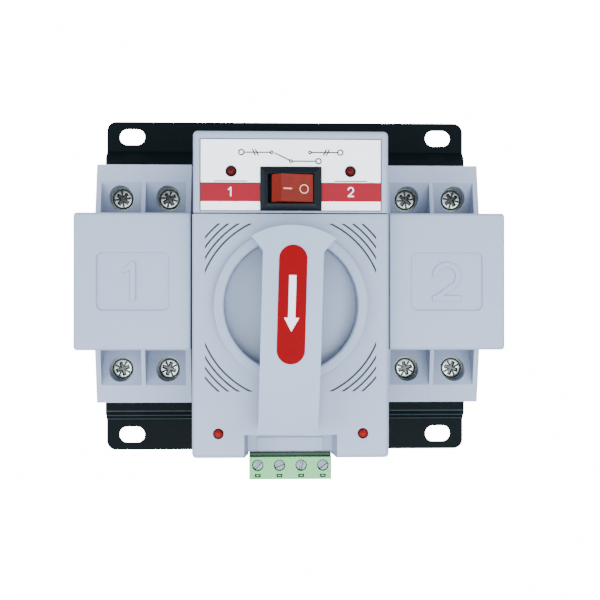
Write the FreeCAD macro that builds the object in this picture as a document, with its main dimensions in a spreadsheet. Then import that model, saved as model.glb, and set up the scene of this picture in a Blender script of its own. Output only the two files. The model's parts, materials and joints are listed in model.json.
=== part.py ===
import FreeCAD, Part

import math
import os
import re

import Sketcher

# A two-source transfer switch on a steel backplate: two 2-pole switch units, head to tail,
# and between them a drive housing whose knob (or motor) slides one bar that moves both toggles.
# Frame: origin on the back plane of the backplate at the centre of its four slots,
# +X to the right, +Z up, the front faces -Y. "Depth" is the distance in front of the back plane.

SIZES = {
    # backplate
    "plate_width": (154.6, "overall width"),
    "plate_height": (142.0, "overall height"),
    "sheet": (1.5, "steel sheet thickness"),
    "plate_corner": (4.0, "corner radius"),
    "deck": (6.5, "front of the raised middle"),
    "deck_half": (53.9, "half height of the raised middle"),
    "step_run": (4.3, "height taken by the sloped step"),
    "bend": (1.3, "outer bend radius of the side flanges"),
    "slot_span_x": (133.0, "slot pattern, across"),
    "slot_span_z": (129.0, "slot pattern, up"),
    "slot_width": (7.0, "slot width"),
    "slot_long": (11.0, "slot end to end"),
    # switch units
    "unit_in": (37.3, "inner side of a unit from the centre plane"),
    "pole_pitch": (18.2, "width of one pole"),
    "case_half": (46.0, "half height of a unit"),
    "case_wall": (2.0, "case wall"),
    "partition": (1.6, "insulating partition"),
    "case_floor": (3.0, "case floor"),
    "end_top": (50.0, "depth of a unit's end edge"),
    "nose_root": (55.5, "depth of the side walls at the nose"),
    "nose_half": (22.0, "half height of the nose"),
    "nose_front": (70.0, "depth of the nose"),
    "channel_half": (39.2, "where a screw channel starts"),
    "channel_floor": (41.5, "channel depth at the nose"),
    "terminal_z": (33.2, "terminal screws from the middle"),
    "access_r": (4.7, "screwdriver hole radius"),
    "head_r": (3.75, "terminal screw head radius"),
    "head_rise": (2.6, "terminal screw head height"),
    "head_seat": (41.6, "depth of the screw head's underside"),
    "screw_r": (2.4, "terminal screw thread radius"),
    "chamber_top": (38.5, "front of the terminal chambers"),
    "chamber_from": (25.0, "terminal chambers start"),
    "entry_width": (9.0, "cable entry width"),
    "entry_low": (15.0, "cable entry, rear side"),
    "entry_high": (28.0, "cable entry, front side"),
    "cage_half": (5.2, "half width of a cage clamp"),
    "cage_sheet": (1.5, "cage clamp wall"),
    "strip": (1.5, "copper strip thickness"),
    "strip_width": (6.0, "copper strip width"),
    "strip_back": (28.6, "depth of the copper strips"),
    "contact_face": (15.2, "fixed contact from the middle"),
    "contact_rise": (42.0, "front end of the fixed contact"),
    "rivet_r": (1.5, "case rivet radius"),
    "rivet_low": (21.0, "depth of the rear rivets"),
    "rivet_high": (36.0, "depth of the front rivets"),
    # toggles
    "toggle_pivot": (59.5, "depth of the toggle shaft"),
    "toggle_reach": (15.0, "pivot to drive fork"),
    "toggle_width": (8.0, "toggle width"),
    "toggle_hub": (5.5, "toggle hub radius"),
    "toggle_tip": (2.5, "radius of the toggle's end"),
    "toggle_stem": (2.4, "toggle stem thickness"),
    "toggle_window": (12.0, "half height of the toggle's window"),
    "rotor_r": (2.0, "toggle shaft radius"),
    "arm_reach": (24.0, "contact arm length"),
    "arm_thick": (4.0, "contact arm thickness"),
    "arm_width": (5.0, "contact arm width"),
    "chute_plates": (5, "arc plates in each pole"),
    "chute_sheet": (0.8, "arc plate thickness"),
    # unit covers
    "cover_in": (34.3, "inner side of a cover"),
    "cover_proud": (1.8, "how far a cover stands beyond the unit's outer side"),
    "cover_half": (24.0, "half height of a cover"),
    "cover_front": (90.0, "depth of a cover"),
    "cover_wall": (1.6, "cover wall"),
    "cover_round": (1.2, "edge rounding of the covers"),
    "emblem_width": (25.3, "number field width"),
    "emblem_height": (20.3, "number field height"),
    "emblem_corner": (2.2, "number field corner radius"),
    "emblem_sink": (0.7, "number field depth"),
    "digit_height": (13.6, "number height"),
    "digit_width": (10.0, "number width"),
    "digit_stroke": (1.8, "number stroke"),
    "digit_turn": (55.0, "where the bow of the 2 turns straight, degrees below level"),
    # drive housing
    "housing_half": (34.0, "half width of the housing"),
    "box_half": (33.6, "half width of the control box"),
    "housing_low": (-61.0, "bottom of the housing"),
    "housing_split": (23.3, "split between the two front covers"),
    "housing_high": (51.6, "top of the housing"),
    "housing_wall": (2.0, "housing wall"),
    "housing_join": (50.0, "depth of the joint between base and covers"),
    "housing_front": (95.0, "depth of the lower cover"),
    "box_front": (96.5, "depth of the control box"),
    "housing_round": (1.6, "edge rounding of the housing"),
    "seam": (0.3, "gap between the two covers"),
    "knob_z": (-8.3, "height of the knob axis"),
    "ring_out": (26.5, "ring outer radius"),
    "ring_in": (22.8, "ring inner radius"),
    "ring_front": (99.0, "depth of the ring"),
    "ring_round": (0.8, "edge rounding of the ring"),
    "dish_front": (91.0, "depth of the recessed disc"),
    "vent_z": (-9.1, "middle of the vents"),
    "vent_first": (32.0, "radius of the first vent"),
    "vent_step": (2.0, "radius step of the vents"),
    "vent_width": (0.6, "vent groove width"),
    "vent_deep": (0.9, "vent groove depth"),
    "vent_half_x": (29.5, "vents end here across"),
    "vent_half_z": (28.9, "vents end here up"),
    "notch_half": (16.0, "half width of the bottom notch"),
    "notch_top": (-53.0, "top of the bottom notch"),
    "notch_front": (85.0, "depth of the notch's back wall"),
    "notch_splay": (6.0, "draft of the notch's walls, degrees"),
    "plaque_width": (23.2, "raised field in the notch, width"),
    "plaque_height": (4.7, "raised field in the notch, height"),
    "plaque_z": (-57.3, "raised field in the notch, height of its middle"),
    "plaque_rise": (0.6, "raised field in the notch, thickness"),
    # control panel
    "label_width": (62.2, "front label width"),
    "label_height": (24.7, "front label height"),
    "label_z": (36.4, "front label middle"),
    "label_sheet": (0.3, "front label thickness"),
    "label_sink": (0.4, "front label recess"),
    "rocker_z": (31.7, "rocker switch middle"),
    "bezel_width": (21.0, "rocker bezel width"),
    "bezel_height": (15.0, "rocker bezel height"),
    "bezel_rise": (1.9, "rocker bezel thickness"),
    "bezel_slope_w": (2.0, "width of the bezel's sloping face"),
    "bezel_slope_d": (0.9, "drop of the bezel's sloping face"),
    "rocker_open_w": (15.7, "rocker opening width"),
    "rocker_open_h": (10.0, "rocker opening height"),
    "rocker_rear": (80.0, "rear of the rocker switch"),
    "rocker_axle": (92.4, "depth of the rocker's axle"),
    "rocker_top_half": (5.6, "half width of the button's face"),
    "rocker_top": (7.5, "button's face in front of its axle"),
    "rocker_foot_half": (7.9, "half width of the button's foot"),
    "rocker_foot": (3.4, "button's foot in front of its axle"),
    "rocker_tilt": (16.5, "rocker tilt each way, degrees"),
    "lamp_r": (1.5, "lamp radius"),
    "lamp_rim": (2.05, "lamp rim radius"),
    "lamp_proud": (0.9, "lamp dome in front of its panel"),
    "power_lamp_x": (20.5, "upper lamps from the middle"),
    "power_lamp_z": (37.7, "upper lamps' height"),
    "position_lamp_x": (24.9, "lower lamps from the middle"),
    "position_lamp_z": (-52.5, "lower lamps' height"),
    "board": (1.6, "circuit board thickness"),
    "board_back": (72.0, "depth of the control board"),
    "lamp_board_back": (80.0, "depth of the lamp board"),
    # pluggable terminal
    "terminal_pitch": (7.62, "terminal pitch"),
    "terminal_ways": (4, "terminal ways"),
    "plug_wall": (3.0, "end wall beyond the last way"),
    "plug_top": (-61.6, "top of the plug"),
    "plug_low": (-69.4, "bottom of the plug"),
    "plug_back": (73.0, "rear of the plug"),
    "plug_front": (88.0, "front of the plug"),
    "plug_screw_z": (-64.5, "plug screws' height"),
    "plug_screw_r": (1.95, "plug screw radius"),
    "header_top": (-50.0, "top of the header"),
    # drive
    "shaft_r": (3.0, "drive shaft radius"),
    "gear_module": (0.8, "gear module"),
    "tooth_reach": (0.7, "addendum in modules"),
    "tooth_root": (0.95, "dedendum in modules"),
    "backlash": (0.1, "tooth thinning on the pitch circle"),
    "pinion_teeth": (13, "rack pinion teeth"),
    "output_teeth": (45, "gear on the drive shaft"),
    "idler_teeth": (20, "idler gear"),
    "motor_teeth": (12, "motor pinion"),
    "idler_angle": (-123.0, "direction of the idler from the shaft, degrees"),
    "motor_angle": (-40.0, "direction of the motor from the idler, degrees"),
    "gear_face": (4.0, "gear face width"),
    "gear_back": (42.5, "depth of the gear train"),
    "gear_plate_back": (40.0, "depth of the gear plate"),
    "gear_plate_half": (27.0, "half width of the gear plate"),
    "idler_pin_r": (2.0, "idler pin radius"),
    "motor_r": (15.0, "motor radius"),
    "motor_back": (12.0, "rear of the motor"),
    "motor_shaft_r": (1.2, "motor shaft radius"),
    "bar_back": (72.0, "depth of the drive bar"),
    "bar_thick": (5.0, "drive bar thickness"),
    "bar_arm": (5.0, "height of the bar's arms"),
    "bar_frame": (4.0, "frame around the bar's rack window"),
    "bar_travel": (8.2, "bar travel each way"),
    "fork_half": (6.0, "half size of a drive fork"),
    "cam_r": (9.5, "limit cam radius"),
    "cam_back": (52.0, "depth of the limit cam"),
    "post_r": (3.0, "gear plate post radius"),
    "post_x": (23.0, "gear plate posts across"),
    "post_low": (-47.0, "lower gear plate posts"),
    "post_high": (18.0, "upper gear plate posts"),
    # knob
    "bar_width": (20.0, "handle width"),
    "tail": (43.2, "axis to the handle's tail end"),
    "cap_r": (26.4, "radius of the handle's cap"),
    "cap_half": (13.9, "half width of the cap"),
    "cap_root": (17.7, "where the cap starts to widen"),
    "cap_wide": (22.4, "where the cap is widest"),
    "handle_back": (100.3, "rear of the handle"),
    "handle_front": (112.0, "front of the handle"),
    "tail_front": (106.5, "front of the handle at its tail"),
    "hub_r": (8.0, "handle hub radius"),
    "sticker_width": (9.3, "handle label width"),
    "sticker_up": (19.9, "handle label above the axis"),
    "sticker_down": (19.4, "handle label below the axis"),
    "sticker_sheet": (0.2, "handle label thickness"),
    "handle_lean": (1.6, "handle's lean at rest, degrees clockwise from the front"),
    # clearances
    "run_gap": (0.05, "running clearance on a radius"),
    "fit_gap": (0.03, "clearance of a fixed pin on a radius"),
    "loose": (0.3, "gap between parts that do not touch"),
}

DERIVED = {
    "unit_mid": "unit_in + pole_pitch",
    "unit_out": "unit_in + 2 * pole_pitch",
    "flange_half": "deck_half + step_run",
    "channel_top": "end_top + (nose_root - end_top) * (case_half - channel_half) / (case_half - nose_half)",
    "plug_half": "terminal_pitch * (terminal_ways - 1) / 2 + plug_wall",
    "pinion_pitch_r": "gear_module * pinion_teeth / 2",
    "idler_gap": "gear_module * (output_teeth + idler_teeth) / 2",
    "motor_gap": "gear_module * (idler_teeth + motor_teeth) / 2",
    "idler_x": "idler_gap * cos(idler_angle * 1 deg)",
    "idler_z": "knob_z + idler_gap * sin(idler_angle * 1 deg)",
    "motor_x": "idler_x + motor_gap * cos(motor_angle * 1 deg)",
    "motor_z": "idler_z + motor_gap * sin(motor_angle * 1 deg)",
    "bar_front": "bar_back + bar_thick",
    "base_floor": "deck + housing_wall",
    "bar_window": "bar_travel + pinion_pitch_r + 1",
    "window_half": "bar_travel + bar_arm / 2 + 0.4",
    "cover_out": "unit_in + 2 * pole_pitch + cover_proud",
    "emblem_x": "(cover_in + cover_out) / 2",
    "panel_floor": "box_front - label_sink",
}

document = FreeCAD.newDocument("transfer_switch")
sheet = document.addObject("Spreadsheet::Sheet", "Sizes")
for row, (word, (value, note)) in enumerate(SIZES.items(), start=1):
    sheet.set(f"A{row}", note)
    sheet.set(f"B{row}", str(value))
    sheet.setAlias(f"B{row}", word)
for row, (word, rule) in enumerate(DERIVED.items(), start=len(SIZES) + 1):
    sheet.set(f"B{row}", "=" + rule)
    sheet.setAlias(f"B{row}", word)
document.recompute()

WORDS = re.compile(r"\b(" + "|".join(sorted([*SIZES, *DERIVED], key=len, reverse=True)) + r")\b")
NODES = []


def size(word):
    """Return the present value of a named size."""
    return float(getattr(sheet, word))


def bind(item, prop, rule):
    """Tie a property to a formula written in the sheet's words."""
    item.setExpression(prop, WORDS.sub(r"Sizes.\1", str(rule)))


def node(label, item):
    """Name a finished sub-part and list it for export."""
    item.Label = label
    NODES.append(item)
    return item


# ---------------------------------------------------------------- primitives and booleans


def place(item, x, depth, z, turn=None):
    """Put a primitive at X, depth and Z, after an optional turn (axis, degrees)."""
    if turn:
        item.Placement = FreeCAD.Placement(FreeCAD.Vector(), FreeCAD.Rotation(*turn))
    bind(item, "Placement.Base.x", x)
    bind(item, "Placement.Base.y", f"-({depth})")
    bind(item, "Placement.Base.z", z)
    return item


def block(x, depth, z):
    """A box between two X, two depths and two Z."""
    box = document.addObject("Part::Box", "Block")
    bind(box, "Length", f"({x[1]}) - ({x[0]})")
    bind(box, "Width", f"({depth[1]}) - ({depth[0]})")
    bind(box, "Height", f"({z[1]}) - ({z[0]})")
    return place(box, x[0], depth[1], z[0])


def centred(x, half_x, depth, z, half_z):
    """A box given by its middle and half sizes in X and Z."""
    return block(around(x, half_x), depth, around(z, half_z))


def around(middle, half):
    """Return the two ends of a stretch given by its middle and half length."""
    return (f"({middle}) - ({half})", f"({middle}) + ({half})")


def rod(radius, depth, x="0", z="0"):
    """A cylinder that points forward, between two depths."""
    cylinder = document.addObject("Part::Cylinder", "Rod")
    bind(cylinder, "Radius", radius)
    bind(cylinder, "Height", f"({depth[1]}) - ({depth[0]})")
    return place(cylinder, x, depth[0], z, (FreeCAD.Vector(1, 0, 0), 90))


def frustum(x, z, depth, slope):
    """A box whose front is smaller than its rear by a slope's width on every side."""
    wedge = document.addObject("Part::Wedge", "Frustum")
    bind(wedge, "Ymin", f"0 - ({depth[1]})")
    bind(wedge, "Ymax", f"0 - ({depth[0]})")
    for axis, (low, high) in (("X", x), ("Z", z)):
        bind(wedge, f"{axis}min", f"({low}) + {slope}")
        bind(wedge, f"{axis}max", f"({high}) - {slope}")
        bind(wedge, f"{axis}2min", low)
        bind(wedge, f"{axis}2max", high)
    return wedge


def cross_rod(radius, x, depth, z="0"):
    """A cylinder along X between two X."""
    cylinder = document.addObject("Part::Cylinder", "CrossRod")
    bind(cylinder, "Radius", radius)
    bind(cylinder, "Height", f"({x[1]}) - ({x[0]})")
    return place(cylinder, x[0], depth, z, (FreeCAD.Vector(0, 1, 0), 90))


def upright_rod(radius, x, depth, z):
    """A cylinder along Z between two Z."""
    cylinder = document.addObject("Part::Cylinder", "UprightRod")
    bind(cylinder, "Radius", radius)
    bind(cylinder, "Height", f"({z[1]}) - ({z[0]})")
    return place(cylinder, x, depth, z[0])


def join(*pieces):
    """Fuse pieces into one."""
    if len(pieces) == 1:
        return pieces[0]
    fusion = document.addObject("Part::MultiFuse", "Join")
    fusion.Shapes = list(pieces)
    return fusion


def cut(base, *tools):
    """Cut tools from a base."""
    result = document.addObject("Part::Cut", "Cut")
    result.Base = base
    result.Tool = join(*tools)
    return result


def common(first, second):
    """Keep what two pieces share."""
    result = document.addObject("Part::Common", "Common")
    result.Base = first
    result.Tool = second
    return result


def group(*pieces):
    """Hold separate solids of one kind together."""
    compound = document.addObject("Part::Compound", "Group")
    compound.Links = list(pieces)
    return compound


def sided(side, near, far):
    """Return the two X of a stretch on the right (1) or mirrored to the left (-1)."""
    return (near, far) if side > 0 else (f"-({far})", f"-({near})")


# ---------------------------------------------------------------- sketched bodies


def body(label):
    """Start a PartDesign body that is a sub-part of its own."""
    return node(label, document.addObject("PartDesign::Body", "Body_" + label))


def sketch(owner, plane, offset="0"):
    """Start a sketch on one of a body's own planes, moved along its normal."""
    made = owner.newObject("Sketcher::SketchObject", "Sketch")
    origin = next(item for item in owner.Origin.OriginFeatures if item.Role == plane)
    made.AttachmentSupport = [(origin, "")]
    made.MapMode = "FlatFace"
    bind(made, "AttachmentOffset.Base.z", offset)
    return made


def polygon(profile, corners):
    """Draw a closed outline whose corners are pairs of formulas."""
    count = len(corners)
    first = profile.GeometryCount
    start = [
        FreeCAD.Vector(math.cos(2 * math.pi * step / count), math.sin(2 * math.pi * step / count), 0)
        for step in range(count)
    ]
    for step in range(count):
        profile.addGeometry(Part.LineSegment(start[step], start[(step + 1) % count]))
    for step in range(count):
        link = Sketcher.Constraint("Coincident", first + step, 2, first + (step + 1) % count, 1)
        profile.addConstraint(link)
    for step, corner in enumerate(corners):
        spot = (start[step].x, start[step].y)
        for kind, rule, value in zip(("DistanceX", "DistanceY"), corner, spot):
            mark = profile.addConstraint(Sketcher.Constraint(kind, -1, 1, first + step, 1, value))
            bind(profile, f"Constraints[{mark}]", rule)
    return profile


def rectangle(profile, x, z):
    """Draw a rectangle between two X and two Z."""
    return polygon(profile, [(x[0], z[0]), (x[1], z[0]), (x[1], z[1]), (x[0], z[1])])


def circle(profile, x, z, radius):
    """Draw a circle at a place, with its radius as a formula."""
    mark = profile.addGeometry(Part.Circle(FreeCAD.Vector(1, 1, 0), FreeCAD.Vector(0, 0, 1), 1))
    for kind, rule in (("DistanceX", x), ("DistanceY", z)):
        line = profile.addConstraint(Sketcher.Constraint(kind, -1, 1, mark, 3, 1))
        bind(profile, f"Constraints[{line}]", rule)
    line = profile.addConstraint(Sketcher.Constraint("Radius", mark, 1))
    bind(profile, f"Constraints[{line}]", radius)
    return profile


def pad(owner, profile, length, midplane=False):
    """Raise a sketch along its normal."""
    feature = owner.newObject("PartDesign::Pad", "Pad")
    feature.Profile = profile
    feature.Midplane = midplane
    bind(feature, "Length", length)
    owner.Tip = feature
    return feature


def pocket(owner, profile, length, midplane=False):
    """Cut a sketch against its normal."""
    feature = owner.newObject("PartDesign::Pocket", "Pocket")
    feature.Profile = profile
    feature.Midplane = midplane
    bind(feature, "Length", length)
    owner.Tip = feature
    return feature


def raise_box(owner, x, depth, z):
    """Pad a rectangle seen from the front between two depths."""
    profile = rectangle(sketch(owner, "XZ_Plane", depth[0]), x, z)
    return pad(owner, profile, f"({depth[1]}) - ({depth[0]})")


def sink_box(owner, x, depth, z):
    """Pocket a rectangle seen from the front between two depths."""
    profile = rectangle(sketch(owner, "XZ_Plane", depth[1]), x, z)
    return pocket(owner, profile, f"({depth[1]}) - ({depth[0]})")


def raise_disc(owner, radius, depth, x="0", z="0"):
    """Pad a circle seen from the front between two depths."""
    profile = circle(sketch(owner, "XZ_Plane", depth[0]), x, z, radius)
    return pad(owner, profile, f"({depth[1]}) - ({depth[0]})")


def sink_disc(owner, radius, depth, x="0", z="0"):
    """Pocket a circle seen from the front between two depths."""
    profile = circle(sketch(owner, "XZ_Plane", depth[1]), x, z, radius)
    return pocket(owner, profile, f"({depth[1]}) - ({depth[0]})")


def round_edges(owner, radius, choose):
    """Fillet the edges of a body's tip that a test picks out."""
    document.recompute()
    tip = owner.Tip
    names = [f"Edge{mark}" for mark, edge in enumerate(tip.Shape.Edges, start=1) if choose(edge)]
    feature = owner.newObject("PartDesign::Fillet", "Fillet")
    feature.Base = (tip, names)
    bind(feature, "Radius", radius)
    owner.Tip = feature
    return feature


def runs_along(edge, axis):
    """Tell whether a straight edge runs along X (0), Y (1) or Z (2)."""
    ends = [vertex.Point for vertex in edge.Vertexes]
    if len(ends) != 2 or not isinstance(edge.Curve, Part.Line):
        return False
    reach = ends[1] - ends[0]
    return abs(reach[axis]) > 0.999 * reach.Length


def near(value, target, slack=0.01):
    """Compare two lengths."""
    return abs(value - target) < slack


# ---------------------------------------------------------------- backplate


def backplate():
    """The bent steel plate: two slotted flanges, two steps, a raised middle with side flanges."""
    plate = body("base_plate")
    front = [
        ("0 - plate_height / 2", "sheet"), ("0 - flange_half", "sheet"), ("0 - deck_half", "deck"),
        ("deck_half", "deck"), ("flange_half", "sheet"), ("plate_height / 2", "sheet"),
    ]
    rear = [
        ("plate_height / 2", "0"), ("flange_half - sheet / 2", "0"),
        ("deck_half - sheet / 2", "deck - sheet"), ("sheet / 2 - deck_half", "deck - sheet"),
        ("sheet / 2 - flange_half", "0"), ("0 - plate_height / 2", "0"),
    ]
    outline = polygon(sketch(plate, "YZ_Plane"), [(f"-({depth})", z) for z, depth in front + rear])
    pad(plate, outline, "plate_width", midplane=True)
    for side in (1, -1):
        edge = sided(side, "plate_width / 2 - sheet", "plate_width / 2")
        raise_box(plate, edge, ("0", "deck"), around("0", "deck_half - sheet"))
    slot = "slot_long / 2 - slot_width / 2"
    for side in ("slot_span_x / 2", "0 - slot_span_x / 2"):
        for level in ("slot_span_z / 2", "0 - slot_span_z / 2"):
            sink_box(plate, around(side, slot), ("0", "sheet"), around(level, "slot_width / 2"))
            for end in ("+", "-"):
                sink_disc(plate, "slot_width / 2", ("0", "sheet"), f"{side} {end} ({slot})", level)
    for x, z, _ in rear_screw_places():
        sink_disc(plate, "screw_r", ("0", "deck"), x, z)
    half = size("plate_width") / 2
    level = size("plate_height") / 2
    round_edges(plate, "plate_corner", lambda edge: runs_along(edge, 1) and near(
        abs(edge.CenterOfMass.x), half) and near(abs(edge.CenterOfMass.z), level))
    round_edges(plate, "min(bend; sheet * 0.9)", lambda edge: runs_along(edge, 2) and near(
        abs(edge.CenterOfMass.x), half) and near(-edge.CenterOfMass.y, size("deck")))


def rear_screw_places():
    """Return X, Z and length formulas of the screws put in from behind the plate."""
    places = []
    for side in ("", "0 - "):
        for level in ("case_half / 2", "0 - case_half / 2"):
            places.append((f"{side}(unit_in + pole_pitch / 2)", level, "case_floor"))
        places.append((f"{side}(housing_half / 2)", "housing_high - 12", "housing_wall"))
        places.append((f"{side}(housing_half - 5)", "housing_low + 16", "housing_wall"))
    return places


def rear_screws():
    """Screws through the plate into the cases and the housing, heads behind the plate."""
    screws = []
    for x, z, grip in rear_screw_places():
        shank = rod("screw_r - fit_gap", ("deck - sheet - 1", f"deck + {grip} - loose"), x, z)
        head = rod("screw_r + 1.4", ("deck - sheet - 2.2", "deck - sheet"), x, z)
        screws.append(join(shank, head))
    node("rear_screws", group(*screws))


# ---------------------------------------------------------------- switch units


def unit_outline(owner, inset="0"):
    """Draw a unit's side outline: flat back, sloped shoulders and a raised nose."""
    corners = [
        ("case_half", "deck"), ("case_half", "end_top"), ("nose_half", "nose_root"),
        ("nose_half", "nose_front"), ("0 - nose_half", "nose_front"), ("0 - nose_half", "nose_root"),
        ("0 - case_half", "end_top"), ("0 - case_half", "deck"),
    ]
    profile = sketch(owner, "YZ_Plane", inset)
    return polygon(profile, [(f"-({depth})", z) for z, depth in corners])


def pole_case(label, side, outer):
    """One moulded pole case, open towards the partition between the two poles."""
    if outer:
        stretch = ("unit_mid + partition / 2", "unit_out")
        room = ("unit_mid + partition / 2 - 1", "unit_out - case_wall")
    else:
        stretch = ("unit_in", "unit_mid - partition / 2")
        room = ("unit_in + case_wall", "unit_mid - partition / 2 + 1")
    x = sided(side, *stretch)
    inside = sided(side, *room)
    case = body(label)
    pad(case, unit_outline(case, x[0]), f"({x[1]}) - ({x[0]})")
    middle = pole_middle(side, outer)
    sink_box(case, inside, ("deck + case_floor", "nose_front - case_wall"), around("0", "nose_half - 2"))
    window = around(f"{side} * unit_mid", "toggle_width / 2 + loose")
    sink_box(case, window, ("nose_front - case_wall - 1", "nose_front"), around("0", "toggle_window"))
    for end in (1, -1):
        level = f"{end} * terminal_z"
        profile = sketch(case, "YZ_Plane", inside[0])
        low = f"{end} * (nose_half - 0.01)"
        high = f"{end} * channel_half"
        channel = [
            ("0 - channel_floor", low), ("0 - nose_root - 5", low),
            ("0 - nose_root - 5", high), ("0 - channel_top", high),
        ]
        polygon(profile, channel)
        feature = pocket(case, profile, f"({inside[1]}) - ({inside[0]})")
        feature.Reversed = True
        chamber = sided(end, "chamber_from", "case_half - case_wall")
        sink_box(case, inside, ("deck + case_floor", "chamber_top"), chamber)
        entry = sided(end, "case_half - case_wall - 1", "case_half + 1")
        sink_box(case, around(middle, "entry_width / 2"), ("entry_low", "entry_high"), entry)
        passage = sided(end, "nose_half - 3", "chamber_from + 1")
        strip_room = ("strip_back - loose", "strip_back + strip + loose")
        sink_box(case, around(middle, "strip_width / 2 + loose"), strip_room, passage)
        sink_disc(case, "access_r", ("head_seat", "end_top + 9"), middle, level)
        sink_disc(case, "screw_r + loose", ("chamber_top - 1", "head_seat + 1"), middle, level)
        for depth in ("rivet_low", "rivet_high"):
            hole = sketch(case, "YZ_Plane", "0")
            circle(hole, f"-({depth})", f"{end} * (nose_half + chamber_from - 2) / 2", "rivet_r + fit_gap")
            pocket(case, hole, "2 * unit_out + 9", midplane=True)
    bearing = sketch(case, "YZ_Plane", "0")
    circle(bearing, "0 - toggle_pivot", "0", "rotor_r + run_gap")
    pocket(case, bearing, "2 * (unit_out - case_wall / 2)", midplane=True)
    screw_x, screw_z, _ = rear_screw_places()[0]
    if not outer:
        for level in (screw_z, f"0 - {screw_z}"):
            sink_disc(case, "screw_r", ("deck - 1", "deck + case_floor"), f"{side} * ({screw_x})", level)


def pole_middle(side, outer):
    """Return the X of a pole's own middle."""
    if outer:
        return f"{side} * (unit_mid + pole_pitch / 2)"
    return f"{side} * (unit_in + pole_pitch / 2)"


def partition_wall(label, side):
    """The insulating sheet between two poles, cut away round the toggle."""
    wall = body(label)
    x = sided(side, "unit_mid - partition / 2", "unit_mid + partition / 2")
    pad(wall, unit_outline(wall, x[0]), "partition")
    opening = ("toggle_pivot - toggle_hub - 1", "nose_front + 1")
    sink_box(wall, around(f"{side} * unit_mid", "partition"), opening, around("0", "toggle_window"))
    for end in (1, -1):
        for depth in ("rivet_low", "rivet_high"):
            hole = sketch(wall, "YZ_Plane", "0")
            circle(hole, f"-({depth})", f"{end} * (nose_half + chamber_from - 2) / 2", "rivet_r + fit_gap")
            pocket(wall, hole, "2 * unit_out + 9", midplane=True)


def terminal_screw(x, z):
    """A clamp screw with a cross and slot recess in its head."""
    head_top = "head_seat + head_rise"
    head = rod("head_r", ("head_seat", head_top), x, z)
    shank = rod("screw_r", ("strip_back + strip + loose / 3", "head_seat"), x, z)
    recess = (f"{head_top} - 1.3", f"{head_top} + 1")
    slot = centred(x, "head_r * 0.62", recess, z, "0.45")
    crossing = centred(x, "0.45", recess, z, "head_r * 0.62")
    return cut(join(head, shank), slot, crossing)


def cage_clamp(x, z):
    """A steel box round the cable space, with the screw's hole in its front wall."""
    depth = ("entry_low - cage_sheet", "chamber_top - 2.5")
    shell = centred(x, "cage_half", depth, z, "4")
    room = (f"{depth[0]} + cage_sheet", f"{depth[1]} - cage_sheet")
    space = centred(x, "cage_half - cage_sheet", room, z, "5")
    hole = rod("screw_r + fit_gap", (f"{depth[1]} - cage_sheet - 1", f"{depth[1]} + 1"), x, z)
    return cut(shell, space, hole)


def switch_unit(name, side):
    """Everything inside and on one two-pole unit; the contact side follows the unit's turn."""
    pole_case(f"{name}_inner_case", side, outer=False)
    partition_wall(f"{name}_partition", side)
    pole_case(f"{name}_outer_case", side, outer=True)
    screws, clamps, contacts, chutes, arms = [], [], [], [], []
    for outer in (False, True):
        x = pole_middle(side, outer)
        for end in (1, -1):
            screws.append(terminal_screw(x, f"{end} * terminal_z"))
            clamps.append(cage_clamp(x, f"{end} * terminal_z"))
        contacts += pole_contacts(x, side)
        chutes += arc_plates(x, side)
        arms.append(contact_arm(x))
    node(f"{name}_terminal_screws", group(*screws))
    node(f"{name}_cage_clamps", group(*clamps))
    node(f"{name}_fixed_contacts", group(*contacts))
    node(f"{name}_arc_chutes", group(*chutes))
    node(f"{name}_contact_arms", group(*arms))
    toggle(f"{name}_toggle", side)
    reach = sided(side, "unit_in + case_wall / 2 + loose / 3", "unit_out - case_wall / 2 - loose / 3")
    node(f"{name}_toggle_shaft", cross_rod("rotor_r", reach, "toggle_pivot"))
    rivets = []
    for end in (1, -1):
        for depth in ("rivet_low", "rivet_high"):
            span = sided(side, "unit_in", "unit_out")
            rivets.append(cross_rod("rivet_r", span, depth, f"{end} * (nose_half + chamber_from - 2) / 2"))
    node(f"{name}_case_rivets", group(*rivets))


def pole_contacts(x, side):
    """The line strip with its upright contact, and the load strip on the other side."""
    half = "strip_width / 2"
    depth = ("strip_back", "strip_back + strip")
    line = centred(x, half, depth, f"{side} * (contact_face + case_half - 5) / 2",
                   "(case_half - 5 - contact_face) / 2")
    face = sided(side, "contact_face", "contact_face + strip")
    upright = block(around(x, "arm_width / 2"), (depth[1], "contact_rise"), face)
    load = centred(x, half, depth, f"0 - {side} * (case_half + 5) / 2", "(case_half - 15) / 2")
    return [join(line, upright), load]


def arc_plates(x, side):
    """The stack of steel plates that cools the arc beside the fixed contact."""
    plates = []
    count = int(size("chute_plates"))
    for step in range(count):
        back = f"contact_rise + 3 + {step} * 2.6"
        level = sided(side, "contact_face", "nose_half - 2 - loose / 2")
        plates.append(block(around(x, "arm_width"), (back, f"{back} + chute_sheet"), level))
    return plates


def contact_arm(x):
    """A copper arm on the toggle shaft, pointing to the rear."""
    hub = cross_rod("arm_thick", around(x, "arm_width / 2"), "toggle_pivot")
    arm = centred(x, "arm_width / 2", ("toggle_pivot - arm_reach", "toggle_pivot"), "0", "arm_thick / 2")
    bore = cross_rod("rotor_r + fit_gap", around(x, "arm_width"), "toggle_pivot")
    return cut(join(hub, arm), bore)


def toggle(label, side):
    """The toggle: a hub on the shaft, a thin stem and a round end for the drive fork."""
    x = around(f"{side} * unit_mid", "toggle_width / 2")
    hub = cross_rod("toggle_hub", x, "toggle_pivot")
    stem = block(x, ("toggle_pivot", "toggle_pivot + toggle_reach"), around("0", "toggle_stem / 2"))
    tip = cross_rod("toggle_tip", x, "toggle_pivot + toggle_reach")
    bore = cross_rod("rotor_r + fit_gap", around(f"{side} * unit_mid", "toggle_width"), "toggle_pivot")
    node(label, cut(join(hub, stem, tip), bore))


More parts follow.
